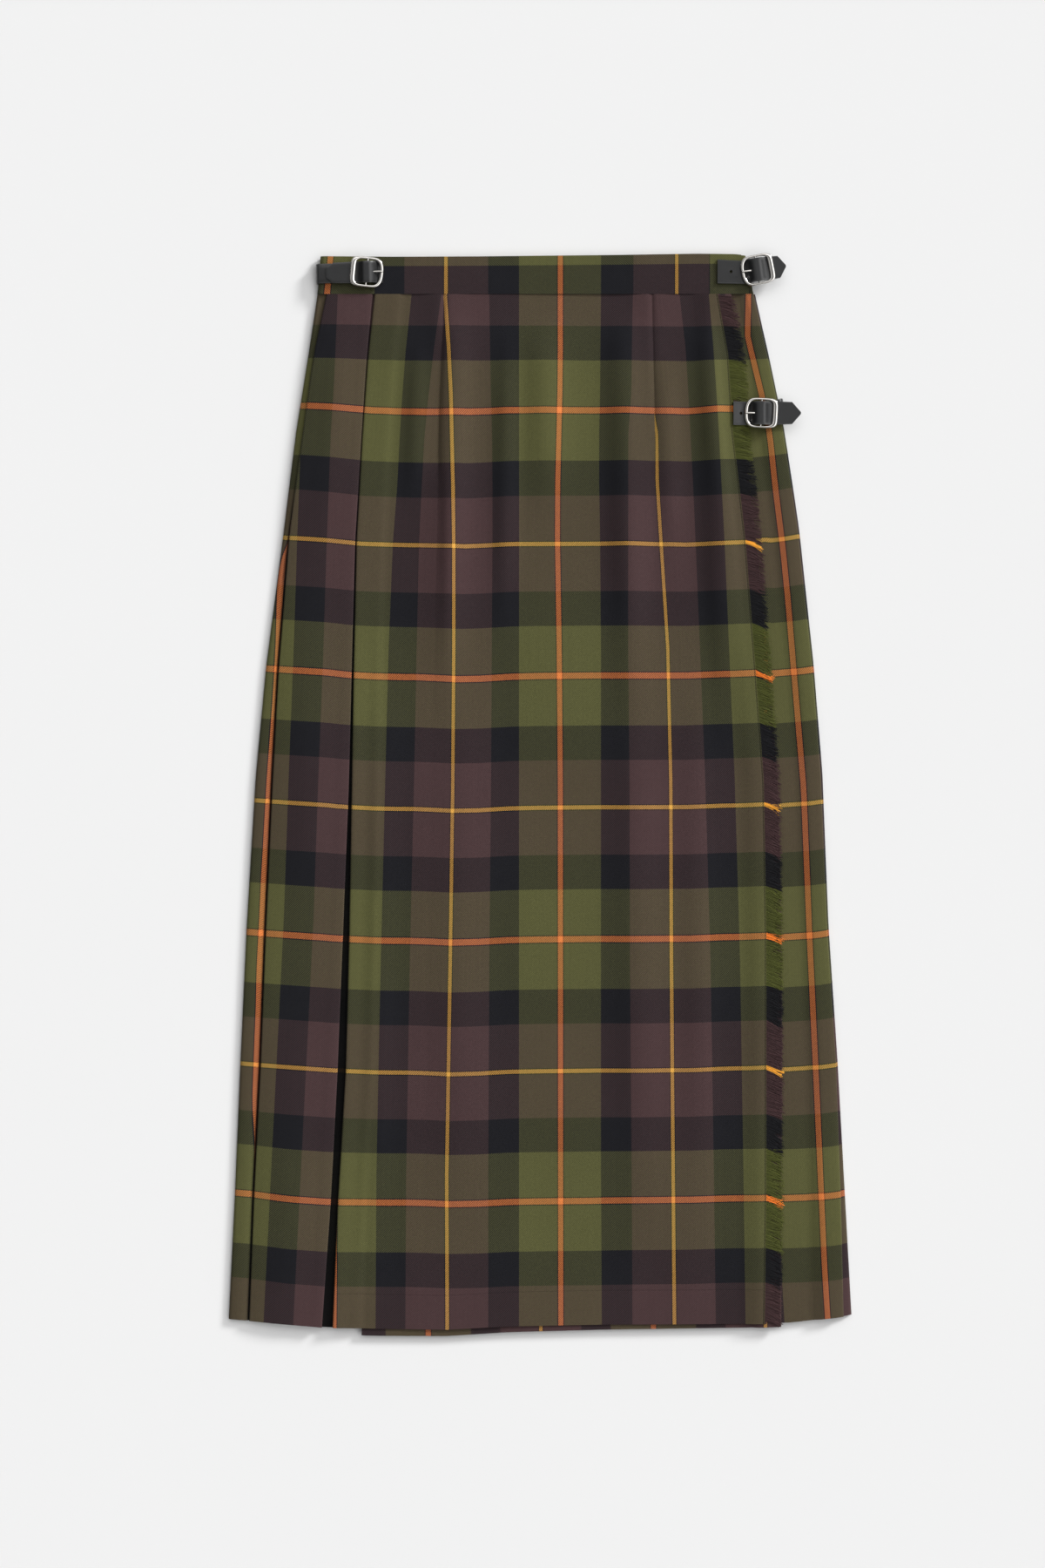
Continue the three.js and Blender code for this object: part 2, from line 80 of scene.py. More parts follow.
# Lengthwise stripes on the top apron: the place of each in the sett, then at each height its x.
# The waist darts are jumps in the sett, so the places beside them (None) follow for each height.
STRIPE_PLACES = (-0.811, -0.681, None, None, -0.5, -0.319, -0.189, 0, 0.189, 0.319,
                 None, None, None, 0.681, 0.811)
APRON_STRIPES = (
    (411.5, (-105.6, -81.3, -79.3, -79.2, -78.1, -41.6, -17.3, 16.6, 49.9, 76, 91.7, 91.8, 94,
     114.6, 138.5), (-0.67, -0.506, 0.402, 0.554, 0.5655)),
    (366.4, (-110.3, -87.4, -80.8, -80.6, -74.9, -40.9, -17.3, 16.5, 49.5, 74.9, 92.7, 92.8, 95,
     119.7, 142), (-0.648, -0.531, 0.413, 0.54, 0.5515)),
    (330.7, (-113.1, -91.7, -82.3, -82.2, -73.1, -40.2, -17.3, 16.1, 49.2, 74.5, 93.4, 93.6, 95.7,
     121.9, 144.3), (-0.632, -0.546, 0.422, 0.527, 0.5385)),
    (294.9, (-115.3, -95.3, -83.2, -83, -72.4, -39.1, -17.3, 15.2, 48.4, 72, 94.2, 94.4, 95.9,
     123.7, 146.4), (-0.6155, -0.557, 0.449, 0.489, 0.5)),
    (255.6, (-117.4, -97.4, -83.9, -83.6, -71.5, -38.8, -17.3, 14.3, 48.4, 72, 94, 94.2, 96.3,
     125.7, 148.5), (-0.603, -0.563, 0.487, 0.489, 0.5)),
    (209.1, (-121, -99.6, -84.9, -84.2, -71, -38.8, -17.3, 14.1, 49.2, 72, 96.3, 96.6, 99.2,
     127.8, 151), (-0.592, -0.578, 0.484, 0.486, 0.5)),
    (119.8, (-124.6, -101.7, -86.7, -85.3, -71, -39.5, -17.3, 15.6, 49.9, 72, 102.1, 102.3, 104.9,
     131.4, 155), (-0.593, -0.584, 0.484, 0.486, 0.5)),
    (8.9, (-127.4, -103.9, -88.1, -86.7, -71.7, -40.2, -17.3, 16.6, 49.9, 73.1, 104.6, 104.8,
     107.4, 135.7, 160), (-0.593, -0.584, 0.484, 0.486, 0.5)),
    (-137.6, (-131, -107.4, -91, -89.6, -73.8, -41.6, -17.3, 16.7, 49.9, 73.5, 104.9, 105.1,
     107.8, 140, 164.3), (-0.593, -0.584, 0.484, 0.486, 0.5)),
    (-310.7, (-134.6, -110.3, -93.8, -92.4, -76.7, -42.4, -17.3, 16.8, 49.9, 74.9, 106.4, 106.6,
     109.2, 142.8, 167.1), (-0.593, -0.584, 0.484, 0.486, 0.5)),
    (-437.9, (-135.3, -111, -93.8, -92.4, -76.3, -42.4, -17.3, 17, 50.6, 75.6, 107.4, 107.6,
     110.3, 144.6, 168.9), (-0.593, -0.584, 0.484, 0.486, 0.5)),
)
# Border from green to black on the box pleat, and the orange stripes beside and on the side pleats
BOX_PLEAT_BORDER = ((411.5, -190.7), (337.8, -193.6), (294.9, -196.4), (209.1, -199.7),
                    (119.8, -202.5), (8.9, -206.8), (-96.2, -210.4), (-310.7, -221.1),
                    (-437.9, -227.5))
LEFT_ORANGE = ((411.5, -168), (260, -196), (209.1, -205), (190, -211), (173, -213.4),
               (123.3, -215.4), (80.4, -218), (37.5, -220.8), (8.9, -222.8), (-34, -225.1),
               (-69.7, -227.2), (-105.5, -228.8), (-141.2, -230.7), (-177, -231.6), (-212.7, -233),
               (-248.5, -234.3), (-300, -233.4), (-437.9, -233))
RIGHT_ORANGE = ((411.5, 171.1), (376, 170.6), (357.1, 175.4), (327, 182.7), (297.8, 188.6),
                (252, 193.6), (207, 199.3), (159.1, 204), (103.3, 208.6), (8.9, 216.5),
                (-116.2, 221.5), (-223.4, 226.5), (-305.7, 230.1), (-385.7, 233.6), (-437.9, 236.8))

# How far the cross stripes lie below their even places: (x, drop) at each height
WEFT_DRIFT = (
    (411.2, ((-193, -1.6), (245, 0.2))),
    (316, ((-193, -1.6), (-175, -1.6), (-136, -0.8), (-100, -0.2), (-50, -0.7), (0, -0.4),
     (43, 0.3), (71, 0.4), (121, 1.3), (150, -0.2), (170, 0.2), (245, 0.5))),
    (207, ((-207, 1.4), (-175, 0.3), (-136, 0.3), (-100, 0), (-50, 0.7), (0, 1.6), (43, 2.4),
     (71, 2.4), (121, 3.6), (150, 2.8), (186, 2.2), (190, 3.5), (218, 4), (232, 4.2))),
    (99, ((-236, 1.1), (-207, 0.5), (-175, -0.6), (-136, 0.4), (-100, 0.1), (-50, 2.1), (0, 1.9),
     (43, 2.4), (71, 2.7), (121, 2.9), (150, 1.9), (186, 1.8), (190, 3.6), (204, 4.1),
     (218, 4.9), (232, 5.6))),
    (-225, ((-236, 1.1), (-207, 0.5), (-175, 0), (-136, 0.6), (-100, 0.5), (-50, 2.1), (0, 2.2),
     (43, 2.5), (71, 2.6), (121, 2.6), (150, 1.6), (186, 1), (190, 3.4), (204, 4.1), (218, 4.8),
     (245, 5.6))),
    (-333, ((-236, -0.9), (-207, 0.1), (-175, -0.1), (-136, -0.6), (-100, -1), (-50, 0.8),
     (0, 0.9), (43, 1.3), (71, 1), (121, 0.8), (150, 0.1), (186, -0.3), (190, 0.6), (204, 1.2),
     (218, 2.3), (245, 3.1))),
)

# Soft folds down the top apron: from (x, y) to (x2, y2), half width and height
SOFT_FOLDS = (
    (-69, 395, -76, 100, 12, 6.0), (-100, 360, -104, 250, 8, 3.0), (-27, 360, -30, 150, 9, 3.6),
    (3, 380, 5, 240, 16, 4.6), (68, 385, 74, 110, 14, 6.0), (104, 340, 108, 200, 8, 2.2),
    (137, 370, 154, 80, 12, 5.4), (-66, 60, -68, -330, 24, 3.4), (77, 90, 84, -320, 20, 3.6),
    (128, 60, 132, -330, 14, 2.6), (-128, 70, -136, -380, 11, 2.6),
)

# Heights of the leather and the buckles; each buckle is laid out round its own middle
LEATHER_LYING_ON = layer(5) + CLOTH / 2
LOW = LEATHER_LYING_ON + GAP + LEATHER / 2
HIGH = LOW + LEATHER + GAP
PRONG_SIDE = LOW + LEATHER / 2 + GAP + ROD
HEEL_SIDE = HIGH + LEATHER / 2 + GAP + ROD
BAR = (PRONG_SIDE + HEEL_SIDE) / 2
OVER_BAR = BAR + ROD + GAP + LEATHER / 2
FRAME_LONG, FRAME_WIDE = 27.4, 25.0
HEEL_BAND, TOE_BAND, SIDE_BAND = 4.4, 3.0, 2.2     # widths of the frame's sides
BUCKLES = (
    dict(name="left", place=(-142.1, 428.6), turn=181.5, frame_turn=-7, strap=17.6, tab_width=16,
         tail=((-12.9, 0, LOW),), corner=27.5, tip=33.5, tip_width=8, spare=None, tab_turn=0,
         tab=((40.7, 0, 1.6), (41.0, 0, 6.6), (39.6, 0, 8.9), (36.2, 0, LOW))),
    dict(name="upper_right", place=(178.2, 430.4), turn=8, frame_turn=3, strap=19.2, tab_width=17,
         tail=((-32.5, 3.6, LOW), (-14.2, 0.4, LOW)), corner=17.7, tip=23.5, tip_width=1.6,
         spare=(-21.5, 1.8), tab_turn=0, tab=((0.4, 0, 1.6), (0.4, 0, 6))),
    dict(name="hip", place=(181.2, 313.0), turn=0, frame_turn=-3, strap=19.2, tab_width=17,
         tail=((-22.8, 0, LOW + 1), (-20.3, 0, LOW + 0.7), (-15.8, 0, LOW + 0.1), (-13, 0, LOW)),
         corner=25.4, tip=32.6, tip_width=1.6, spare=(-16.4, 0), tab_turn=9,
         tab=((18.2, 1, 1.6), (18.9, 1, 6.2), (17.2, 1, 9.0), (15, 0.6, LOW))),
)
# The strap's way over the buckle's bar: (along, height)
STRAP_WAVE = ((-10.6, LOW), (-8.6, LOW + 0.6), (-5.4, OVER_BAR - 1.8), (-2.6, OVER_BAR - 0.2),
              (0, OVER_BAR), (2.6, OVER_BAR - 0.2), (5.2, OVER_BAR - 1.8), (7.4, HIGH + 0.4),
              (8.8, HIGH))


def lerp(a, b, t):
    return a + (b - a) * t


def smoothstep(x, low, high):
    t = min(max((x - low) / (high - low), 0), 1)
    return t * t * (3 - 2 * t)


def bell(x, width):
    return math.exp(-((x / width) ** 2))


def bracket(rows, position):
    """The row before a position, and how far it lies towards the next one."""
    rising = rows[-1][0] > rows[0][0]
    for i in range(1, len(rows)):
        inside = position <= rows[i][0] if rising else position >= rows[i][0]
        if inside or i == len(rows) - 1:
            t = (position - rows[i - 1][0]) / (rows[i][0] - rows[i - 1][0])
            return i - 1, min(max(t, 0), 1)


def between(rows, position, column=1):
    i, t = bracket(rows, position)
    return lerp(rows[i][column], rows[i + 1][column], t)


class Edges:
    """Where each long edge lies at a height."""

    def __init__(self, height):
        for k, name in enumerate(EDGE_NAMES):
            setattr(self, name, between(EDGE_ROWS, height, k + 1))


def thread_height(x, height, e):
    across = 2 * (x - e.outer_left) / (e.outer_right - e.outer_left) - 1
    return height + smoothstep(WAIST_SEAM - height, 0, 180) * between(RISE_ACROSS, across)


def weft_place(height, x):
    """Place of a cross thread in the sett; stripes lie a little lower towards the right side."""
    i, t = bracket(WEFT_DRIFT, height)
    drift = lerp(between(WEFT_DRIFT[i][1], x), between(WEFT_DRIFT[i + 1][1], x), t)
    return (height + drift - WEFT_ORANGE) / WEFT_SETT


def heights(count):
    return [lerp(BODY_TOP, HEM, j / (count - 1)) for j in range(count)]


class Section:
    """A section drawn like a pen line; points have a place, a height and maybe a sett place."""

    def __init__(self, x, z, heading, sett=None):
        self.points = [[x, z, sett]]
        self.heading = heading

    def run(self, x, z, sett=None):
        self.points.append([x, z, sett])

    def fold(self, edge, next_z, sett=None, thickness=CLOTH, steps=6):
        """Runs to the fold whose outer edge is at x, turns over and comes back at next_z."""
        z = self.points[-1][1]
        radius = abs(next_z - z) / 2
        centre = edge - self.heading * (radius + thickness / 2)
        turn = 1 if next_z > z else -1
        for k in range(steps + 1):
            angle = math.pi * k / steps
            self.points.append([centre + self.heading * radius * math.sin(angle),
                                (z + next_z) / 2 - turn * radius * math.cos(angle),
                                sett if k == steps // 2 else None])
        self.heading = -self.heading

    def finished(self):
        """Fills in the sett along the pen line: it falls by one for each WARP_SETT of cloth."""
        along = [0.0]
        for (x1, z1, _), (x2, z2, _) in zip(self.points, self.points[1:]):
            along.append(along[-1] + math.hypot(x2 - x1, z2 - z1))
        marked = [i for i, p in enumerate(self.points) if p[2] is not None]
        result = []
        for i, (x, z, sett) in enumerate(self.points):
            before = [m for m in marked if m <= i]
            after = [m for m in marked if m >= i]
            if before and after:
                a, b = before[-1], after[0]
                t = 0 if a == b else (along[i] - along[a]) / (along[b] - along[a])
                sett = lerp(self.points[a][2], self.points[b][2], t)
            elif before:
                sett = self.points[before[-1]][2] - (along[i] - along[before[-1]]) / WARP_SETT
            else:
                sett = self.points[after[0]][2] + (along[after[0]] - along[i]) / WARP_SETT
            result.append((x, z, sett))
        return result


def refined(sections, step):
    """Splits every stretch into the same number of parts in each section, none longer than step."""
    counts = []
    for i in range(len(sections[0]) - 1):
        longest = max(math.dist(s[i][:2], s[i + 1][:2]) for s in sections)
        counts.append(max(1, math.ceil(longest / step)))
    result = []
    for section in sections:
        points = []
        for a, b, count in zip(section, section[1:], counts):
            points += [tuple(lerp(p, q, k / count) for p, q in zip(a, b)) for k in range(count)]
        result.append(points + [section[-1]])
    return result


def deselect():
    bpy.ops.object.select_all(action="DESELECT")


def choose(piece):
    deselect()
    piece.select_set(True)
    bpy.context.view_layer.objects.active = piece


def finish_modifiers(piece):
    choose(piece)
    for modifier in list(piece.modifiers):
        bpy.ops.object.modifier_apply(modifier=modifier.name)


def smooth(piece, degrees=50):
    choose(piece)
    bpy.ops.object.shade_smooth_by_angle(angle=math.radians(degrees))


def thicken(piece, thickness):
    wall = piece.modifiers.new("Thickness", "SOLIDIFY")
    wall.thickness = thickness
    wall.offset = 0
    wall.use_even_offset = True
    finish_modifiers(piece)


def round_edges(piece, width, segments=2, degrees=45):
    edge = piece.modifiers.new("Rounded edges", "BEVEL")
    edge.width = width
    edge.segments = segments
    edge.limit_method = "ANGLE"
    edge.angle_limit = math.radians(degrees)
    finish_modifiers(piece)


def fill_map(mesh, uv, places):
    """Gives each corner of a UV map its vertex's place."""
    uv.data.foreach_set("uv", [c for loop in mesh.loops for c in places[loop.vertex_index]])


def cloth_shell(name, rows, thickness=CLOTH):
    """A thin cloth from rows of (x, y, z, warp place, weft place, from edge or painted shade in a
    slit, from hem).
    """
    columns = len(rows[0])
    points = [tuple(c * MM for c in p[:3]) for row in rows for p in row]
    corners = [j * columns + i for j in range(len(rows) - 1) for i in range(columns - 1)]
    faces = [(k, k + 1, k + columns + 1, k + columns) for k in corners]
    mesh = bpy.data.meshes.new(name)
    mesh.from_pydata(points, [], faces)
    for map_name, first in (("Threads", 3), ("Sewing", 5)):
        places = [p[first:first + 2] for row in rows for p in row]
        fill_map(mesh, mesh.uv_layers.new(name=map_name), places)
    piece = bpy.data.objects.new(name, mesh)
    bpy.context.collection.objects.link(piece)
    thicken(piece, thickness * MM)
    smooth(piece)
    return piece


# depth, when given, tells how far painted shade darkens the cloth at the bottom of a slit
def cloth_from_sections(name, sections, all_heights, step, height_of, lift=None, depth=None):
    rows = []
    for points, height in zip(refined(sections, step), all_heights):
        row = []
        for x, z, sett in points:
            y = height_of(x, height)
            # Painted shade: cloth at the bottom of the slits beside the box pleat is marked to be
            # painted near black
            painted_shade_in_slit = depth(x, z, height) if depth else 0
            if lift:
                z += lift(x, y, z, height)
            row.append((x, y, z, sett, weft_place(height, x), painted_shade_in_slit, height - HEM))
        rows.append(row)
    return cloth_shell(name, rows)


# ---------------------------------------------------------------- top apron

def soft_lift(x, y):
    lift = 0
    for x1, y1, x2, y2, width, height in SOFT_FOLDS:
        along = min(max((y1 - y) / (y1 - y2), -0.25), 1.25)
        ends = smoothstep(along, -0.25, 0.25) * (1 - smoothstep(along, 0.6, 1.25))
        lift += height * ends * bell(x - lerp(x1, x2, along), width)
    return lift * smoothstep(WAIST_SEAM - y, 3, 45)


DARTS = ((-79.3, -83.4, 262), (91.8, 94.2, 296))    # x at the waist, x at the foot, y of the foot


def dart_lift(x, y):
    """The cloth stands up softly on both sides of each dart, and dips into its seam."""
    lift = 0
    for x1, x2, foot in DARTS:
        seam = lerp(x1, x2, smoothstep(411 - y, 0, 120))
        sewn = smoothstep(y, foot - 16, foot + 22)
        beyond = smoothstep(y, foot - 170, foot + 20) * (1 - sewn)
        off = x - seam
        lift += sewn * 1.2 * bell(off, 15) * (1 - bell(off, 1.9))
        lift += beyond * (1.7 * bell(off, 17) - 1.2 * bell(off, 5))
    return lift


def wrinkle_lift(x, y):
    long_wave = math.sin(x / 31 + 0.6 * math.sin(y / 120)) * math.sin(y / 143 + 1.3)
    short_wave = math.sin(x / 13.5 + y / 210) * math.sin(y / 71 + x / 90)
    inside = smoothstep(x, -135, -110) * (1 - smoothstep(x, 118, 150))
    return inside * (0.45 + 0.42 * long_wave + 0.16 * short_wave)


def apron_stripes(height):
    i, t = bracket(APRON_STRIPES, height)
    (_, places, beside), (_, next_places, next_beside) = APRON_STRIPES[i:i + 2]
    dart_setts = iter([lerp(a, b, t) for a, b in zip(beside, next_beside)])
    return [(lerp(a, b, t), next(dart_setts) if sett is None else sett)
            for a, b, sett in zip(places, next_places, STRIPE_PLACES)]


STRIPE_STEPS = (12, 8, 8, 3, 1, 8, 8, 11, 11, 8, 11, 8, 4, 1, 8, 14)    # parts between stripes
EDGE_TURNED_UNDER = 18
CLIMB_INSET = 24.5      # how far inside the under apron's edge the cloth climbs on to its turn
EDGE_RISE = 1.8         # how high the left edge stands off below the hips
NOT_SEWN = 50           # a distance from the edge at which there are no stitches


def top_apron():
    rows = []
    for height in heights(156):
        e = Edges(height)
        right, left = e.apron_right, e.apron_left
        stripes = apron_stripes(height)
        turn = left + CLOTH / 2 + TURN_RADIUS
        marks = [(turn, stripes[0][1] - (stripes[0][0] - left) / WARP_SETT)] + stripes
        marks += [(right, stripes[-1][1] + (right - stripes[-1][0]) / WARP_SETT)]
        marks.reverse()
        front = []
        for (x1, u1), (x2, u2), count in zip(marks, marks[1:], STRIPE_STEPS):
            front += [(lerp(x1, x2, k / count), lerp(u1, u2, k / count)) for k in range(count)]
        front.append(marks[-1])
        climb = e.under_right - CLIMB_INSET
        edge_lift = EDGE_RISE * smoothstep(-height, -250, -60)
        row = []

        def lay(x, z, sett, from_edge=NOT_SEWN):
            row.append((x, thread_height(x, height, e), z + edge_lift * bell(x - left, 12), sett,
                        weft_place(height, x), from_edge, height - HEM))

        for x, sett in front:
            z = lerp(layer(4), layer(6), smoothstep(x, climb - 11, climb + 8))
            over_turn = smoothstep(x, left + EDGE_TURNED_UNDER, left + EDGE_TURNED_UNDER + 8)
            z = lerp(layer(5), z, over_turn)
            y = thread_height(x, height, e)
            inside = smoothstep(x, left + 3, left + 22) * (1 - smoothstep(x, right - 12, right - 1))
            z += inside * (soft_lift(x, y) + dart_lift(x, y) + wrinkle_lift(x, y))
            lay(x, z, sett, right - x)
        sett = marks[-1][1]
        for k in range(1, 7):
            angle = math.pi * k / 6
            lay(turn - TURN_RADIUS * math.sin(angle),
                (layer(5) + layer(4)) / 2 + TURN_RADIUS * math.cos(angle), sett - 0.002 * k)
        for k in range(1, 5):
            x = lerp(turn, left + EDGE_TURNED_UNDER, k / 4)
            lay(x, layer(4), sett - (x - left) / WARP_SETT)
        rows.append(row)
    return cloth_shell("top apron", rows)


# ---------------------------------------------------------------- under apron

UNDER_SETT = 184.8          # width of a repeat on it
UNDER_YELLOW = -92.0        # x of its yellow stripe
UNDER_INSET = 23.6          # how far inside the top apron's left edge it begins
UNDER_TURNED_UNDER = 16


def under_apron():
    all_heights = heights(86)
    sections = []
    for height in all_heights:
        e = Edges(height)
        right, left = e.under_right, e.apron_left + UNDER_INSET
        edge_sett = (right - UNDER_YELLOW) / UNDER_SETT
        pen = Section(right - UNDER_TURNED_UNDER, layer(4), 1)
        pen.fold(right, layer(5), edge_sett)
        pen.run(right - UNDER_TURNED_UNDER - 0.6, layer(5))
        pen.run(right - UNDER_TURNED_UNDER - 7, layer(3))
        pen.run(left, layer(3), edge_sett - (right - left) / UNDER_SETT)
        sections.append(pen.finished())

    def height_of(x, height):
        """It hangs lower than the top apron, most at its left."""
        e = Edges(height)
        left = e.apron_left + UNDER_INSET
        sag = lerp(6.08, 3, (x - left) / (e.under_right - left))
        return thread_height(x, height, e) - sag * (WAIST_SEAM - height) / (WAIST_SEAM - HEM)

    return cloth_from_sections("under apron", sections, all_heights, 7, height_of)


# ---------------------------------------------------------------- pleated cloth

BACK_PLEATS = 8
BOX_FOLD_SHARE = 0.42       # how far the box pleat's hidden folds reach in, as a share of its width
SIDE_FOLD_SHARE = 0.35      # the same for the side pleat
BACK_START, BACK_SHARE = 0.06, 0.84     # where the back pleats begin, and their share of the width


def pleat_section(height):
    e = Edges(height)
    pleat = e.pleat_right - e.pleat_left
    border = between(BOX_PLEAT_BORDER, thread_height(e.pleat_left, height, e))
    left_orange = between(LEFT_ORANGE, thread_height(e.pleat_left, height, e))
    right_orange = between(RIGHT_ORANGE, thread_height(e.side_right, height, e))
    box_sett = lambda x: -0.811 + (x - border) / WARP_SETT
    left_sett = lambda x: -1 + (x - left_orange) / WARP_SETT
    side_sett = lambda x: -12 + (x - right_orange) / WARP_SETT
    waver = 0.9 * math.sin(height / 63) + 0.5 * math.sin(height / 27 + 1)

    pen = Section(e.apron_left + 18, layer(3), -1)
    pen.run(e.apron_left + 3, layer(3))
    pen.run(e.apron_left + 1, layer(3))
    pen.run(e.pleat_right - 2, layer(3))
    pen.fold(e.pleat_right - BOX_FOLD_SHARE * pleat, layer(4))
    pen.fold(e.pleat_right, layer(5), box_sett(e.pleat_right))
    pen.fold(e.pleat_left, layer(4), box_sett(e.pleat_left))
    hidden = e.pleat_left + BOX_FOLD_SHARE * pleat
    pen.fold(hidden, layer(3), min(box_sett(e.pleat_left) - 0.02, left_sett(hidden)))
    slit = e.pleat_left
    floor_height = lerp(layer(3), layer(1) - 0.1, opened(height))
    reach = min((slit - e.outer_left - 2.65) / 5.5, 1)
    pen.run(slit + 8, lerp(layer(3), floor_height, 0.6))
    pen.run(slit + 1, floor_height)
    pen.run(slit - 1.4 * reach, floor_height)
    pen.run(slit - 2.4 * reach, layer(3) - 0.5 * opened(height))
    pen.run(slit - 4.8 * reach, layer(3), left_sett(slit - 4.8 * reach))
    pen.fold(e.outer_left, layer(0), left_sett(e.outer_left))

    width = e.outer_right - e.outer_left
    first = e.outer_left + BACK_START * width
    panel = BACK_SHARE * width / (BACK_PLEATS - 1)
    start_sett = left_sett(e.outer_left) - BACK_START * width / WARP_SETT
    for k in range(BACK_PLEATS):
        edge = first + k * panel
        edge_sett = start_sett - k
        uneven = waver * (0.6 + 0.4 * math.sin(2.1 * k)) * smoothstep(WAIST_SEAM - height, 0, 120)
        sett = edge_sett + 1 - 0.88 * panel / WARP_SETT if k else None
        pen.run(edge - 0.12 * panel + uneven, layer(0), sett)
        pen.run(edge - 0.5 + uneven, layer(2))
        pen.fold(edge + (0.8 if k < BACK_PLEATS - 1 else 0.6) * panel, layer(1))
        pen.fold(edge + uneven, layer(0), edge_sett - 1 if k else start_sett - 1)

    turn = e.side_right - SIDE_FOLD_SHARE * (e.side_right - e.under_right)
    sliver = lerp(-11.75, -11.58, smoothstep(-height, 150, 230))
    pen.fold(e.outer_right, layer(3), sliver)
    pen.fold(turn, layer(4))
    pen.fold(e.side_right, layer(5), side_sett(e.side_right))
    pen.run(turn, layer(5), side_sett(turn))
    pen.run(turn - 5, layer(3), side_sett(turn - 5))
    pen.run(e.under_right - 16, layer(3), side_sett(e.under_right - 16))
    return pen.finished()


def opened(height):
    """The slits beside the box pleat open below the hips."""
    return smoothstep(-height, -262, -180)


def slit_painted_shade(x, z, height):
    """Painted shade in the slits beside the box pleat: 1 at their bottom, where the wool is painted
    near black.
    """
    if z > layer(3) + 0.1:
        return 0
    e = Edges(height)
    left_slit = smoothstep(x, e.pleat_left - 2.4, e.pleat_left - 1.6)
    left_slit *= 1 - smoothstep(x, -180, -176)
    right_slit = smoothstep(x, e.pleat_right - 4, e.pleat_right - 2) * (x < e.apron_left + 4)
    return max(left_slit, right_slit) * opened(height)


def pleat_ease(x, y, z, height):
    """The box pleat and the side pleat stand up a little at and between their pressed edges."""
    e = Edges(height)
    below_waist = smoothstep(WAIST_SEAM - height, 0, 160)
    edge = 1.3 * bell(x - e.pleat_right, 10) - 1.1 * bell(x - e.pleat_left, 8) * opened(height)
    lift = edge * below_waist
    if z < layer(5) - 0.1:
        flat_edge = 0.6 * (1 - smoothstep(x, e.outer_left, e.outer_left + 9))
        flat_edge = max(flat_edge, smoothstep(x, e.outer_right - 9, e.outer_right))
        sunk = 1.5 * flat_edge * below_waist * min(z - layer(0), 4.2) / 4.2
        return lift * smoothstep(z, layer(3.5), layer(4)) - sunk * (z < layer(3) + 0.1)
    side_fold = e.side_right - SIDE_FOLD_SHARE * (e.side_right - e.under_right)
    for left, right, rise in ((e.pleat_left, e.pleat_right, 2.6), (side_fold, e.side_right, 0.4)):
        if left < x < right:
            share = math.sin(math.pi * (x - left) / (right - left)) ** 2
            uneven = 0.7 + 0.3 * math.sin(y / 57 + x / 40)
            lift += rise * share * uneven * smoothstep(WAIST_SEAM - height, 0, 90)
    return lift


def pleated_cloth():
    all_heights = heights(74)
    sections = [pleat_section(height) for height in all_heights]
    return cloth_from_sections(
        "pleated cloth", sections, all_heights, 8,
        lambda x, height: thread_height(x, height, Edges(height)), pleat_ease, slit_painted_shade)


# ---------------------------------------------------------------- waistband

# Left and right folds of the waistband and its end, at shares of its height
BAND_SIDES = ((0, -183.2, 175.5, 172.5), (0.5, -181.6, 172.5, 169.5), (1, -180.6, 169.0, 165.0))
# The waistband's stripes: (x, place in the sett), and the line of its top edge: (x, y)
BAND_STRIPES = ((-173.2, -1), (-136, -0.811), (-111.7, -0.681), (-77.4, -0.5), (-42.4, -0.319),
                (-17.3, -0.189), (16.6, 0), (49.9, 0.189), (76.3, 0.319), (112.4, 0.5),
                (139, 0.681), (139.4, 0.811), (174.5, 1))
BAND_TOP_LINE = ((-183, 442.2), (-121, 441.7), (-50, 442), (-14, 442.4), (57, 443.1),
                 (128, 444.2), (160, 443.9), (167, 443.1), (172, 441.2))


def waistband():
    back = BAND_CLOTH / 2
    under = back + BAND_CLOTH + GAP
    front = under + BAND_CLOTH + GAP
    shares = [j / 8 for j in range(9)]
    sections = []
    for share in shares:
        left, right, end = (between(BAND_SIDES, share, k) for k in (1, 2, 3))
        pen = Section(end, front, -1, between(BAND_STRIPES, end))
        for x, sett in reversed(BAND_STRIPES[1:-1]):
            if x < end - 1:
                pen.run(x, front, sett)
        orange = lerp(-175.0, -172.0, share)
        pen.run(orange, front, -1)
        pen.fold(left, back, -1 - (orange - left) / WARP_SETT, BAND_CLOTH, 8)
        pen.run(0, back)
        pen.fold(right, under, None, BAND_CLOTH, 8)
        pen.run(0, under)
        pen.run(-112.4, under)
        sections.append(pen.finished())
    rows = []
    for points, share in zip(refined(sections, 5), shares):
        row = []
        for x, z, sett in points:
            y = lerp(WAIST_SEAM, between(BAND_TOP_LINE, x), share)
            weft = 0.152 + (BAND_TOP - lerp(WAIST_SEAM, BAND_TOP, share)) / WEFT_SETT
            row.append((x, y, z, sett, weft, 0, 50))
        rows.append(row)
    rows.reverse()
    piece = cloth_shell("waistband", rows, BAND_CLOTH)
    round_edges(piece, 0.9 * MM, 3, 60)
    smooth(piece)
    return piece


# ---------------------------------------------------------------- fringe

def slice_across(normal, places):
    """Cuts the chosen shape's faces at places along a direction."""
    bpy.ops.object.mode_set(mode="EDIT")
    for place in places:
        bpy.ops.mesh.select_all(action="SELECT")
        bpy.ops.mesh.bisect(plane_co=[place * n for n in normal], plane_no=normal)
    bpy.ops.object.mode_set(mode="OBJECT")


YARN_SPACING = 0.235
YARN_REACH = 14.4
HIP_STRAP_ROOM = (302.5, 323.5)     # heights at which the hip strap takes the fringe's place


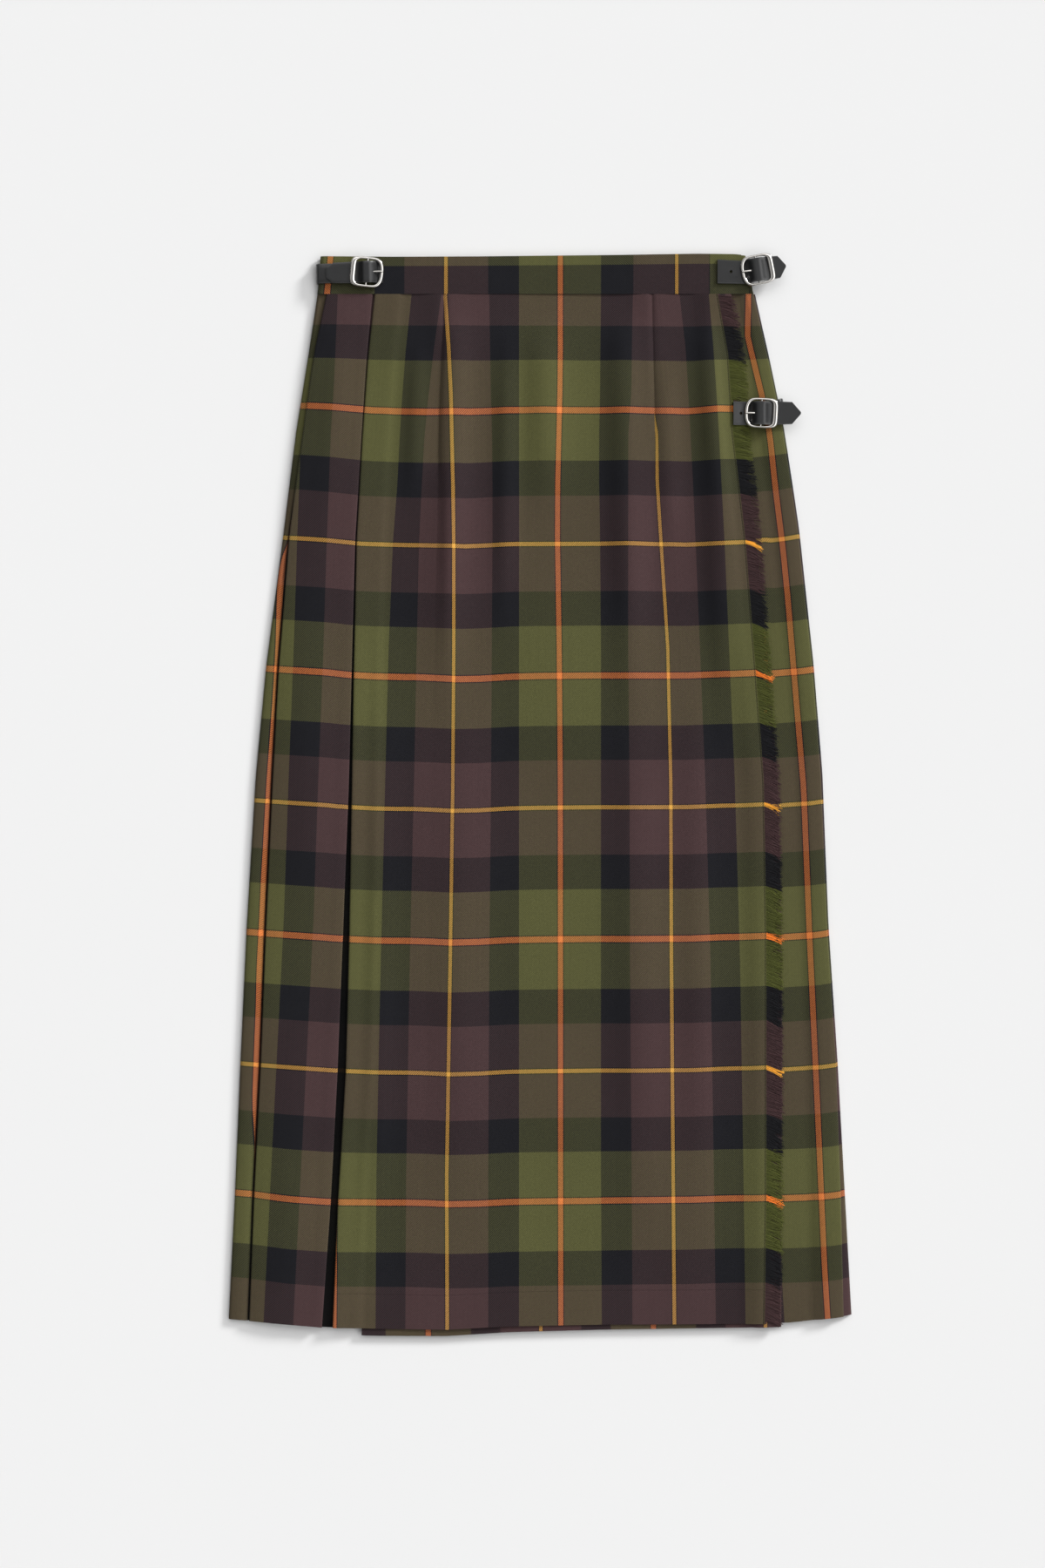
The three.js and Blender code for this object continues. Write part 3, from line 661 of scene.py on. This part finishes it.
def yarn_shape():
    """One loose thread along X, a four-sided tube cut in four; the fringe makes it thinner and more
    bent towards its tip.
    """
    deselect()
    bpy.ops.mesh.primitive_cylinder_add(vertices=4, radius=1, depth=1, end_fill_type="TRIFAN",
                                        rotation=(0, math.pi / 2, 0), location=(0.5, 0, 0))
    yarn = bpy.context.object
    bpy.ops.object.transform_apply()
    slice_across((1, 0, 0), (0.25, 0.5, 0.75))
    points = [v.co.copy() for v in yarn.data.vertices]
    faces = [tuple(p.vertices) for p in yarn.data.polygons]
    bpy.data.objects.remove(yarn)
    return points, faces


def fringe():
    chance = random.Random(7)
    shape, shape_faces = yarn_shape()
    points, faces, threads = [], [], []
    height = BODY_TOP - 1
    while height > HEM + 3:
        height -= YARN_SPACING * chance.uniform(0.6, 1.4)
        if HIP_STRAP_ROOM[0] < height < HIP_STRAP_ROOM[1]:
            continue
        e = Edges(height)
        root_x = e.apron_right - 0.2
        root_y = thread_height(e.apron_right, height, e)
        clump = math.sin(height / 3.1) + math.sin(height / 7.7 + 1)
        droop = lerp(0.08, 0.28, smoothstep(-height, -320, -120)) + 0.06 * clump
        droop += chance.gauss(0, 0.06)
        reach = YARN_REACH + 0.5 * clump + chance.gauss(0, 0.9)
        reach *= 0.6 if chance.random() < 0.15 else 1
        curl = chance.gauss(0.12, 0.1)
        sink = chance.uniform(0, 0.6)
        radius = chance.uniform(0.30, 0.42)
        first = len(points)
        for p in shape:
            t = p.x
            angle = -(droop + curl * t)
            thin = radius * (1 - 0.45 * t)
            x = root_x + reach * t * math.cos(angle) - thin * p.y * math.sin(angle)
            y = root_y + reach * t * math.sin(angle) + thin * p.y * math.cos(angle)
            z = layer(6) + 0.3 - sink * (0.4 + t) - 0.2 * t * t
            z += thin * p.z + 0.2 * math.sin(3 * t + clump) * t
            points.append((x * MM, y * MM, z * MM))
            threads.append((t, weft_place(height, e.apron_right)))
        faces += [tuple(first + i for i in face) for face in shape_faces]
    strip_first = len(points)
    strip = heights(120)
    for height in strip:
        e = Edges(height)
        for across, up in ((0, 0.1), (1.0, 0.05), (1.3, -0.1), (1.0, -0.35), (0, -0.5)):
            x = e.apron_right + GAP + across
            points.append((x * MM, thread_height(x, height, e) * MM, (layer(6) + up * CLOTH) * MM))
            threads.append((0, weft_place(height, e.apron_right)))
    for j in range(len(strip) - 1):
        for k in range(5):
            a, b = strip_first + 5 * j + k, strip_first + 5 * j + (k + 1) % 5
            faces.append((a, a + 5, b + 5, b))
    faces.append(tuple(strip_first + k for k in range(5)))
    last = strip_first + 5 * (len(strip) - 1)
    faces.append(tuple(last + k for k in reversed(range(5))))
    mesh = bpy.data.meshes.new("apron fringe")
    mesh.from_pydata(points, [], faces)
    fill_map(mesh, mesh.uv_layers.new(name="Threads"), threads)
    piece = bpy.data.objects.new("apron_fringe_yarns", mesh)
    bpy.context.collection.objects.link(piece)
    smooth(piece, 80)
    return piece


# ---------------------------------------------------------------- straps and buckles

def seat(piece, kit, turn=0.0, lift=0.0, tilt=0.0):
    """Puts a piece, made in millimetres round the buckle's middle, in its place on the kilt."""
    x, y = kit["place"]
    piece.data.transform(Matrix.Translation((x * MM, y * MM, lift * MM))
                         @ Matrix.Rotation(math.radians(kit["turn"] + turn), 4, "Z")
                         @ Matrix.Rotation(tilt, 4, "Y") @ Matrix.Scale(MM, 4))


def curved(rows, steps=4):
    """More rows between the given ones, on one smooth line through them."""
    result = []
    for i in range(len(rows) - 1):
        a, b, c, d = rows[max(i - 1, 0)], rows[i], rows[i + 1], rows[min(i + 2, len(rows) - 1)]
        for k in range(steps):
            t = k / steps
            result.append(tuple(
                0.5 * (2 * q + (r - p) * t + (2 * p - 5 * q + 4 * r - s) * t * t
                       + (3 * q - p - 3 * r + s) * t ** 3)
                for p, q, r, s in zip(a, b, c, d)))
    return result + [rows[-1]]


def leather_strip(name, rows, across=8):
    """A thickened strip of leather over rows of (along, aside, height, width); strap and tab round
    its edges afterwards.
    """
    deselect()
    bpy.ops.mesh.primitive_grid_add(x_subdivisions=len(rows) - 1, y_subdivisions=across, size=2)
    strip = bpy.context.object
    strip.name = name
    cut = {}
    order = sorted(strip.data.vertices, key=lambda v: (round(v.co.x, 4), v.co.y))
    for n, vertex in enumerate(order):
        x, aside, z, width = rows[n // (across + 1)]
        share = (n % (across + 1)) / across - 0.5
        vertex.co = (x, aside + share * width, z)
        cut[vertex.index] = (x, 2 * share)
    uv = strip.data.uv_layers[0]
    uv.name = "Cut"
    fill_map(strip.data, uv, cut)
    thicken(strip, LEATHER)
    return strip


def join_to(piece):
    """Joins the shape just made to a piece."""
    piece.select_set(True)
    bpy.context.view_layer.objects.active = piece
    bpy.ops.object.join()


def punch(strip, place, axis_end):
    """Cuts a round hole along a line."""
    start, end = Vector(place), Vector(axis_end)
    line = end - start
    bpy.ops.mesh.primitive_cylinder_add(vertices=24, radius=1.2, depth=line.length,
                                        location=(start + end) / 2,
                                        rotation=line.to_track_quat("Z", "Y").to_euler())
    drill = bpy.context.object
    hole = strip.modifiers.new("Hole", "BOOLEAN")
    hole.operation = "DIFFERENCE"
    hole.solver = "EXACT"
    hole.object = drill
    finish_modifiers(strip)
    bpy.data.objects.remove(drill)


PRONG_START = Vector((-ROD - GAP - 0.1, 0, BAR + 0.05))
PRONG_END = Vector((-FRAME_LONG / 2 + 0.6, 0, PRONG_SIDE + 2.0))


def strap(kit):
    wide = kit["strap"]
    rows = [(x, y, z, wide) for x, y, z in kit["tail"]] + [(x, 0, z, wide) for x, z in STRAP_WAVE]
    rows = curved(rows)
    corner, tip = kit["corner"], kit["tip"]
    rows += [(lerp(8.8, corner, k / 5), 0, HIGH, wide * lerp(1, 0.94, k / 5)) for k in range(1, 6)]
    rows += [(lerp(corner, tip, k / 3), 0, HIGH, lerp(wide * 0.94, kit["tip_width"], k / 3))
             for k in range(1, 4)]
    piece = leather_strip(kit["name"] + " strap", rows)
    end_x, end_y = kit["tail"][0][:2]
    slant = math.sin(math.radians(kit["turn"]))
    for vertex in piece.data.vertices:
        sewn_end = smoothstep(-vertex.co.x, 14, -end_x + 0.1) if kit["spare"] else 0
        vertex.co.x += sewn_end * (vertex.co.y - end_y) * slant
    punch(piece, PRONG_START, PRONG_END)
    if kit["spare"]:
        x, y = kit["spare"]
        punch(piece, (x, y, LEATHER_LYING_ON - 1), (x, y, OVER_BAR + 1))
    round_edges(piece, 0.35)
    seat(piece, kit)
    smooth(piece, 40)
    return piece


def tab(kit):
    wide = kit["tab_width"]
    rows = [(x, y, z, wide) for x, y, z in kit["tab"]]
    if len(rows) > 2:
        stop = ROD + GAP + 0.4 + wide / 2 * math.sin(math.radians(kit["tab_turn"]))
        rows += [(6.5, 0, LOW, wide), (stop, 0, BAR - 1.2, wide)]
    else:
        rows += [(0.4, 0, BAR - ROD - GAP - 0.2, wide)]
    piece = leather_strip(kit["name"] + " tab", curved(rows, 3), 4)
    round_edges(piece, 0.35)
    seat(piece, kit, kit["tab_turn"])
    smooth(piece, 40)
    return piece


def frame_outline(count=96):
    """Places and outward directions round the frame, which is squarer on the heel side."""
    def place(angle):
        square = lerp(2.9, 5.0, (1 + math.cos(angle)) / 2)
        c, d = math.cos(angle), math.sin(angle)
        return Vector((FRAME_LONG / 2 * math.copysign(abs(c) ** (2 / square), c),
                       FRAME_WIDE / 2 * math.copysign(abs(d) ** (2 / square), d), 0))

    result = []
    for k in range(count):
        angle = 2 * math.pi * k / count
        along = place(angle + 0.01) - place(angle - 0.01)
        result.append((place(angle), Vector((along.y, -along.x, 0)).normalized()))
    return result


def buckle_frame(kit):
    places = frame_outline()
    deselect()
    bpy.ops.mesh.primitive_torus_add(major_segments=len(places), minor_segments=16,
                                     major_radius=1, minor_radius=0.1)
    ring = bpy.context.object
    ring.name = kit["name"] + " frame"
    for vertex in ring.data.vertices:
        x, y, z = vertex.co
        turn = math.atan2(y, x) % (2 * math.pi)
        index = round(turn / (2 * math.pi) * len(places)) % len(places)
        round_angle = math.atan2(z, math.hypot(x, y) - 1)
        place, out = places[index]
        heel = smoothstep(place.x, 6, FRAME_LONG / 2 - 0.5)
        toe = smoothstep(-place.x, 5, FRAME_LONG / 2 - 0.5)
        band = SIDE_BAND + heel * (HEEL_BAND - SIDE_BAND) + toe * (TOE_BAND - SIDE_BAND)
        half_band = band / 2
        crown = math.sin(round_angle)
        vertex.co = place - out * half_band + out * half_band * math.cos(round_angle)
        vertex.co.z = ROD * math.copysign(abs(crown) ** lerp(1, 0.8, heel), crown)
    bpy.ops.mesh.primitive_cylinder_add(vertices=16, radius=0.9, depth=FRAME_WIDE - 2 * ROD,
                                        rotation=(math.pi / 2, 0, 0))
    join_to(ring)
    tilt = -math.atan2(HEEL_SIDE - PRONG_SIDE, FRAME_LONG - 2 * ROD)
    seat(ring, kit, kit["frame_turn"], BAR, tilt)
    smooth(ring, 60)
    return ring


def prong(kit):
    deselect()
    bpy.ops.mesh.primitive_cone_add(vertices=16, radius1=0.95, radius2=0.8, depth=1,
                                    location=(0, 0, 0.5))
    pin = bpy.context.object
    pin.name = kit["name"] + " prong"
    bpy.ops.object.transform_apply()
    slice_across((0, 0, 1), (0.15, 0.3, 0.45, 0.6, 0.75, 0.9, 0.96))
    for vertex in pin.data.vertices:
        side, up, t = vertex.co
        thin = 0.72 if t > 0.99 else 1
        centre = PRONG_START.lerp(PRONG_END, t)
        centre.z += 0.35 * math.sin(math.pi * t)
        vertex.co = centre + Vector((0, side, up)) * thin
    bpy.ops.mesh.primitive_torus_add(major_segments=24, minor_segments=8,
                                     major_radius=1.1, minor_radius=0.17,
                                     rotation=(math.pi / 2, 0, 0), location=(0, 0, BAR))
    bpy.context.object.scale = (1, 1, 4)
    bpy.ops.object.transform_apply()
    join_to(pin)
    seat(pin, kit)
    smooth(pin, 60)
    return pin


# ---------------------------------------------------------------- materials

def place_node(tree, kind, settings=None, inputs=None):
    node = tree.nodes.new("ShaderNode" + kind)
    for key, value in (settings or {}).items():
        setattr(node, key, value)
    for key, value in (inputs or {}).items():
        if isinstance(value, bpy.types.NodeSocket):
            tree.links.new(value, node.inputs[key])
        else:
            node.inputs[key].default_value = value
    return node


def maths(tree, operation, *values):
    node = place_node(tree, "Math", {"operation": operation}, dict(enumerate(values)))
    return node.outputs[0]


def blend_colours(tree, share, first, second, kind="MIX"):
    node = place_node(tree, "Mix", {"data_type": "RGBA", "blend_type": kind},
                      {0: share, 6: first, 7: second})
    return node.outputs[2]


def lit(tree, colour, light):
    grey = place_node(tree, "CombineColor", inputs={0: light, 1: light, 2: light})
    return blend_colours(tree, 1.0, colour, grey.outputs[0], "MULTIPLY")


def shaded(tree, colour, amount, low, high):
    """The colour made lighter and darker by a value from 0 to 1."""
    return lit(tree, colour, maths(tree, "MULTIPLY_ADD", amount, high - low, low))


def soft_step(tree, value, low, high, first=0.0, last=1.0):
    node = place_node(tree, "MapRange", {"interpolation_type": "SMOOTHSTEP"},
                      {0: value, 1: low, 2: high, 3: first, 4: last})
    return node.outputs[0]


def map_parts(tree, name):
    """The two numbers of a UV map."""
    places = place_node(tree, "UVMap", {"uv_map": name})
    split = place_node(tree, "SeparateXYZ", inputs={0: places.outputs[0]})
    return split.outputs[0], split.outputs[1]


def new_group(name, inputs, outputs):
    group = bpy.data.node_groups.new(name, "ShaderNodeTree")
    for label, kind in inputs:
        group.interface.new_socket(name=label, in_out="INPUT", socket_type=kind)
    for label, kind in outputs:
        group.interface.new_socket(name=label, in_out="OUTPUT", socket_type=kind)
    return group, group.nodes.new("NodeGroupInput"), group.nodes.new("NodeGroupOutput")


def linear(code):
    channel = lambda c: c / 12.92 if c <= 0.04045 else ((c + 0.055) / 1.055) ** 2.4
    return tuple(channel(int(code[i:i + 2], 16) / 255) for i in (0, 2, 4)) + (1,)


WARP_COUNT, WEFT_COUNT = 416.0, 480.0       # threads in one repeat
ORANGE, GREEN, BLACK = linear("DE7E40"), linear("535330"), linear("131318")
MAROON, YELLOW = linear("453233"), linear("DDA44A")
# Threads of the sett from the orange stripe's middle to the yellow stripe's middle
SETT = ((0, ORANGE), (0.0208, BLACK), (0.0290, GREEN), (0.378, BLACK), (0.638, MAROON),
        (0.9730, BLACK), (0.9812, YELLOW))
LOOSE_SETT = ((0, linear("E8802F")), (0.0208, linear("101014")), (0.0290, linear("4A4E20")),
              (0.378, linear("101014")), (0.638, linear("402C2D")), (0.9812, linear("E9A53A")))


def thread_colours(tree, place, sett=SETT):
    folded = maths(tree, "MULTIPLY", maths(tree, "PINGPONG", place, 0.5), 2.0)
    ramp = place_node(tree, "ValToRGB", inputs={0: folded})
    ramp.color_ramp.interpolation = "CONSTANT"
    stops = ramp.color_ramp.elements
    stops[0].position, stops[0].color = sett[0]
    stops[1].position, stops[1].color = sett[-1]
    for position, colour in sett[1:-1]:
        stops.new(position).color = colour
    return ramp.outputs[0]


def tartan_weave():
    """The woven tartan: colour and relief of the twill at a place given in setts. The colour has
    painted light and shade of the twill's ribs and painted shade between unlike threads.
    """
    group, given, out = new_group("Tartan twill", [("Threads", "NodeSocketVector")],
                                  [("Colour", "NodeSocketColor"), ("Relief", "NodeSocketFloat")])
    split = place_node(group, "SeparateXYZ", inputs={0: given.outputs["Threads"]})
    warp, weft = split.outputs[0], split.outputs[1]
    warp_count = maths(group, "MULTIPLY", warp, WARP_COUNT)
    weft_count = maths(group, "MULTIPLY", weft, WEFT_COUNT)
    warp_number, weft_number = maths(group, "FLOOR", warp_count), maths(group, "FLOOR", weft_count)
    step = maths(group, "FLOORED_MODULO", maths(group, "SUBTRACT", warp_number, weft_number), 4.0)
    over = maths(group, "LESS_THAN", step, 2.0)
    share = maths(group, "MULTIPLY_ADD", over, 0.62, 0.21)
    warp_colour, weft_colour = thread_colours(group, warp), thread_colours(group, weft)
    colour = blend_colours(group, share, weft_colour, warp_colour)
    # Painted shade between threads: the mixed colour is pulled a little towards the darker of the
    # two threads
    darker = blend_colours(group, 1.0, weft_colour, warp_colour, "DARKEN")
    colour = blend_colours(group, 0.22, colour, darker)
    # Painted light and shade of the twill: its diagonal ribs are lighter and the dips between them
    # darker, on top of random tone for each thread
    rib = maths(group, "ABSOLUTE", maths(group, "SINE", maths(
        group, "MULTIPLY", maths(group, "SUBTRACT", warp_count, weft_count), math.pi / 4)))
    uneven = place_node(group, "TexWhiteNoise", {"noise_dimensions": "2D"})
    pair = place_node(group, "CombineXYZ", inputs={0: warp_number, 1: maths(
        group, "MULTIPLY", over, weft_number)})
    group.links.new(pair.outputs[0], uneven.inputs["Vector"])
    light = maths(group, "MULTIPLY_ADD", uneven.outputs["Value"], 0.14, 0.69)
    light = maths(group, "MULTIPLY_ADD", rib, 0.38, light)
    group.links.new(lit(group, colour, light), out.inputs["Colour"])
    group.links.new(maths(group, "MULTIPLY_ADD", over, 0.4, maths(group, "MULTIPLY", rib, 0.6)),
                    out.inputs["Relief"])
    return group


def sewn_line():
    """A row of sunk stitches at a distance from an edge: 1 in a stitch, less beside it. It sinks
    the cloth and paints shade into the stitches.
    """
    group, given, out = new_group(
        "Sewn line",
        [(label, "NodeSocketFloat") for label in ("Distance", "Along", "Row", "Width", "Stitch")],
        [("Mask", "NodeSocketFloat")])
    distance, along, row, width, stitch = given.outputs[:5]
    off = maths(group, "ABSOLUTE", maths(group, "SUBTRACT", distance, row))
    near = soft_step(group, off, width, 0.0)
    part = maths(group, "FRACT", maths(group, "DIVIDE", along, stitch))
    dash = maths(group, "MULTIPLY_ADD", maths(group, "LESS_THAN", part, 0.72), 0.45, 0.55)
    group.links.new(maths(group, "MULTIPLY", near, dash), out.inputs["Mask"])
    return group


WEAVE = tartan_weave()
SEWN = sewn_line()


def surface(name, base, roughness, bump=None, bump_depth=0.0001, **constants):
    """A material with one Principled shader; base and roughness may be sockets made on its tree."""
    material = bpy.data.materials.new(name)
    material.use_nodes = True
    tree = material.node_tree
    shader = tree.nodes["Principled BSDF"]
    for key, value in (("Base Color", base(tree)), ("Roughness", roughness(tree))):
        tree.links.new(value, shader.inputs[key])
    if bump:
        relief = place_node(tree, "Bump", inputs={"Strength": 1.0, "Distance": bump_depth,
                                                            "Height": bump(tree)})
        tree.links.new(relief.outputs[0], shader.inputs["Normal"])
    for key, value in constants.items():
        shader.inputs[key.replace("_", " ")].default_value = value
    return material


def cloth_noise(tree, scale, detail=3.0):
    places = place_node(tree, "TexCoord")
    noise = place_node(tree, "TexNoise", inputs={
        "Vector": places.outputs["Object"], "Scale": scale, "Detail": detail})
    return noise.outputs["Fac"]


def varied(scale, amount, least):
    """Gives a maker of a value that varies softly from place to place."""
    return lambda tree: maths(tree, "MULTIPLY_ADD", cloth_noise(tree, scale), amount, least)


def wool(name, sewn=()):
    """Tartan wool; stitches and the bottoms of slits are painted darker as shade. Stitches: (from
    hem instead of from edge, row, width, stitch, strength).
    """
    def weave(tree, output):
        threads = place_node(tree, "UVMap", {"uv_map": "Threads"}).outputs[0]
        node = place_node(tree, "Group", {"node_tree": WEAVE}, {"Threads": threads})
        return node.outputs[output]

    def stitches(tree):
        total = None
        for from_hem, row, width, stitch, strength in sewn:
            distance, along = map_parts(tree, "Sewing")
            if from_hem:
                distance = along
                along = maths(tree, "MULTIPLY", map_parts(tree, "Threads")[0], WARP_SETT)
            node = place_node(tree, "Group", {"node_tree": SEWN}, {
                "Distance": distance, "Along": along, "Row": row, "Width": width, "Stitch": stitch})
            mask = maths(tree, "MULTIPLY", node.outputs[0], strength)
            total = mask if total is None else maths(tree, "MAXIMUM", total, mask)
        return total

    def base(tree):
        colour = shaded(tree, weave(tree, "Colour"), cloth_noise(tree, 9.0), 0.90, 1.10)
        colour = shaded(tree, colour, cloth_noise(tree, 420.0, 1.0), 0.92, 1.08)
        if sewn:
            # Painted shade: each stitch darkens the cloth by up to half, as shade in its sunk row
            return shaded(tree, colour, stitches(tree), 1.0, 0.5)
        # Painted shade: cloth at the bottom of the slits is darkened to near black
        return shaded(tree, colour, map_parts(tree, "Sewing")[0], 1.0, 0.04)

    def bump(tree):
        height = weave(tree, "Relief")
        return maths(tree, "MULTIPLY_ADD", stitches(tree), -2.5, height) if sewn else height

    return surface(name, base, varied(60.0, 0.12, 0.80), bump, 0.00012,
                   Sheen_Weight=0.06, Sheen_Roughness=0.4, Specular_IOR_Level=0.2)


def yarn_wool():
    def base(tree):
        along, weft = map_parts(tree, "Threads")
        colour = thread_colours(tree, weft, LOOSE_SETT)
        number = maths(tree, "FLOOR", maths(tree, "MULTIPLY", weft, WEFT_COUNT))
        uneven = place_node(tree, "TexWhiteNoise", {"noise_dimensions": "1D"}, {"W": number})
        colour = shaded(tree, colour, uneven.outputs["Value"], 0.75, 1.2)
        # Painted shade and light: the yarns are darker at their roots by the apron's edge and
        # lighter towards their tips
        return shaded(tree, colour, along, 0.85, 1.1)

    return surface("Loose yarns", base, varied(300.0, 0.15, 0.75),
                   lambda tree: cloth_noise(tree, 1500.0), 0.0001,
                   Sheen_Weight=0.05, Specular_IOR_Level=0.2)


def leather():
    def cells(tree, scale):
        places = place_node(tree, "TexCoord")
        node = place_node(tree, "TexVoronoi", {"feature": "SMOOTH_F1"}, {
            "Vector": places.outputs["Object"], "Scale": scale})
        return node.outputs["Distance"]

    def edge(tree):
        return soft_step(tree, maths(tree, "ABSOLUTE", map_parts(tree, "Cut")[1]), 0.86, 1.0)

    def base(tree):
        colour = blend_colours(tree, cloth_noise(tree, 70.0), linear("141415"), linear("1C1D1E"))
        # The leather is made lighter towards its cut edges
        lighter_near_edge = maths(tree, "MULTIPLY", edge(tree), 0.5)
        return blend_colours(tree, lighter_near_edge, colour, linear("3A3A3A"))

    def grain(tree):
        return maths(tree, "ADD", cells(tree, 2600.0), varied(500.0, 0.6, 0.0)(tree))

    return surface("Black strap leather", base, varied(260.0, 0.12, 0.28), grain, 0.00003,
                   Specular_IOR_Level=0.5, Coat_Weight=0.12, Coat_Roughness=0.3)


def nickel():
    def base(tree):
        return blend_colours(tree, cloth_noise(tree, 180.0), linear("CFCBC6"), linear("E6E3DE"))

    return surface("Polished nickel", base, varied(420.0, 0.06, 0.06),
                   lambda tree: cloth_noise(tree, 900.0), 0.00001, Metallic=1.0)


# ---------------------------------------------------------------- the kilt

def belongs(piece, name, material, slot, *nodes):
    piece.name = name
    piece.data.name = name
    piece.data.materials.clear()
    piece.data.materials.append(material)
    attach(piece, "root")
    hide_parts(*nodes)
    return piece


apron_wool = wool("Tartan wool with sewn edges",
                  ((False, 1.2, 0.9, 2.6, 1.0), (True, 28.0, 0.8, 5.0, 0.35)))
plain_wool = wool("Tartan wool")
band_wool = wool("Tartan wool of the band")
black_leather, polished_nickel = leather(), nickel()

apron = belongs(top_apron(), "top_apron_cloth", apron_wool, "wool", "top_apron")
under = belongs(under_apron(), "under_apron_cloth", plain_wool, "wool", "under_apron")
pleats = belongs(pleated_cloth(), "pleated_wool_cloth", plain_wool, "wool", "pleated_cloth")
band = belongs(waistband(), "waistband_cloth", band_wool, "wool_band", "waistband")
yarns = belongs(fringe(), "apron_fringe_yarns", yarn_wool(), "wool_fringe", "apron_fringe")
for kit in BUCKLES:
    part = kit["name"]
    belongs(strap(kit), part + "_strap_leather", black_leather, "leather", part + "_strap")
    belongs(tab(kit), part + "_tab_leather", black_leather, "leather", part + "_tab")
    belongs(buckle_frame(kit), part + "_buckle_frame", polished_nickel, "steel", part + "_buckle")
    belongs(prong(kit), part + "_buckle_prong", polished_nickel, "steel", part + "_prong")

# ---------------------------------------------------------------- floor, light and camera

deselect()
bpy.ops.mesh.primitive_plane_add(size=60, location=(0, 0, -0.0002))
floor = bpy.context.object
floor.name = "pale floor"
floor.data.materials.append(surface(
    "Pale floor",
    lambda tree: blend_colours(tree, cloth_noise(tree, 2.0),
                               (0.80, 0.80, 0.80, 1), (0.81, 0.81, 0.81, 1)),
    varied(4.0, 0.02, 0.85), Specular_IOR_Level=0.1))


LIGHT_PLACE = (1.5, 1.2, 0.85)
bpy.ops.object.light_add(type="SUN", location=LIGHT_PLACE)
lamp = bpy.context.object
lamp.name = "soft light from the upper right"
lamp.data.angle = math.radians(14)
lamp.data.energy = 2.6
lamp.rotation_euler = (-Vector(LIGHT_PLACE)).to_track_quat("-Z", "Y").to_euler()

world = bpy.data.worlds.new("Soft studio")
bpy.context.scene.world = world
world.use_nodes = True
sky = world.node_tree
direction = place_node(sky, "TexCoord")
upness = place_node(sky, "SeparateXYZ", inputs={0: direction.outputs["Generated"]})
# Bright panels overhead round the dark lens, more light from the upper right, and dimmer walls
panel = soft_step(sky, upness.outputs[2], 0.45, 0.8, 0.22, 2.0)
lens_hole = soft_step(sky, upness.outputs[2], 0.93, 0.985, 1.0, 0.12)
towards = place_node(sky, "VectorMath", {"operation": "DOT_PRODUCT"},
                     {0: direction.outputs["Generated"], 1: (0.88, 0.48, 0)})
side = soft_step(sky, towards.outputs["Value"], -0.7, 0.7, 0.15, 1.85)
background = sky.nodes["Background"]
background.inputs["Color"].default_value = (0.67, 0.67, 0.67, 1)
sky.links.new(maths(sky, "MULTIPLY", maths(sky, "MULTIPLY", panel, lens_hole), side),
              background.inputs["Strength"])
# Past the floor's end a low view sees a plain backdrop as pale as the floor
backdrop = place_node(sky, "Background", inputs={0: (0.89, 0.89, 0.89, 1)})
rays = place_node(sky, "LightPath")
seen = place_node(sky, "MixShader", inputs={
    0: rays.outputs["Is Camera Ray"], 1: background.outputs[0], 2: backdrop.outputs[0]})
sky.links.new(seen.outputs[0], sky.nodes["World Output"].inputs["Surface"])

lens = bpy.data.cameras.new("Straight down")
camera = bpy.data.objects.new("Straight down", lens)
bpy.context.collection.objects.link(camera)
lens.lens = 85
lens.sensor_width = 36
PHOTO_HEIGHT = 1.287        # metres that the photo's height takes in at the cloth
CLOTH_TOP = 0.0082
camera.location = (-0.0145, 0.0089, CLOTH_TOP + PHOTO_HEIGHT * lens.lens / lens.sensor_width)
lens.clip_end = 30
bpy.context.scene.camera = camera
bpy.context.scene.view_settings.view_transform = "Standard"
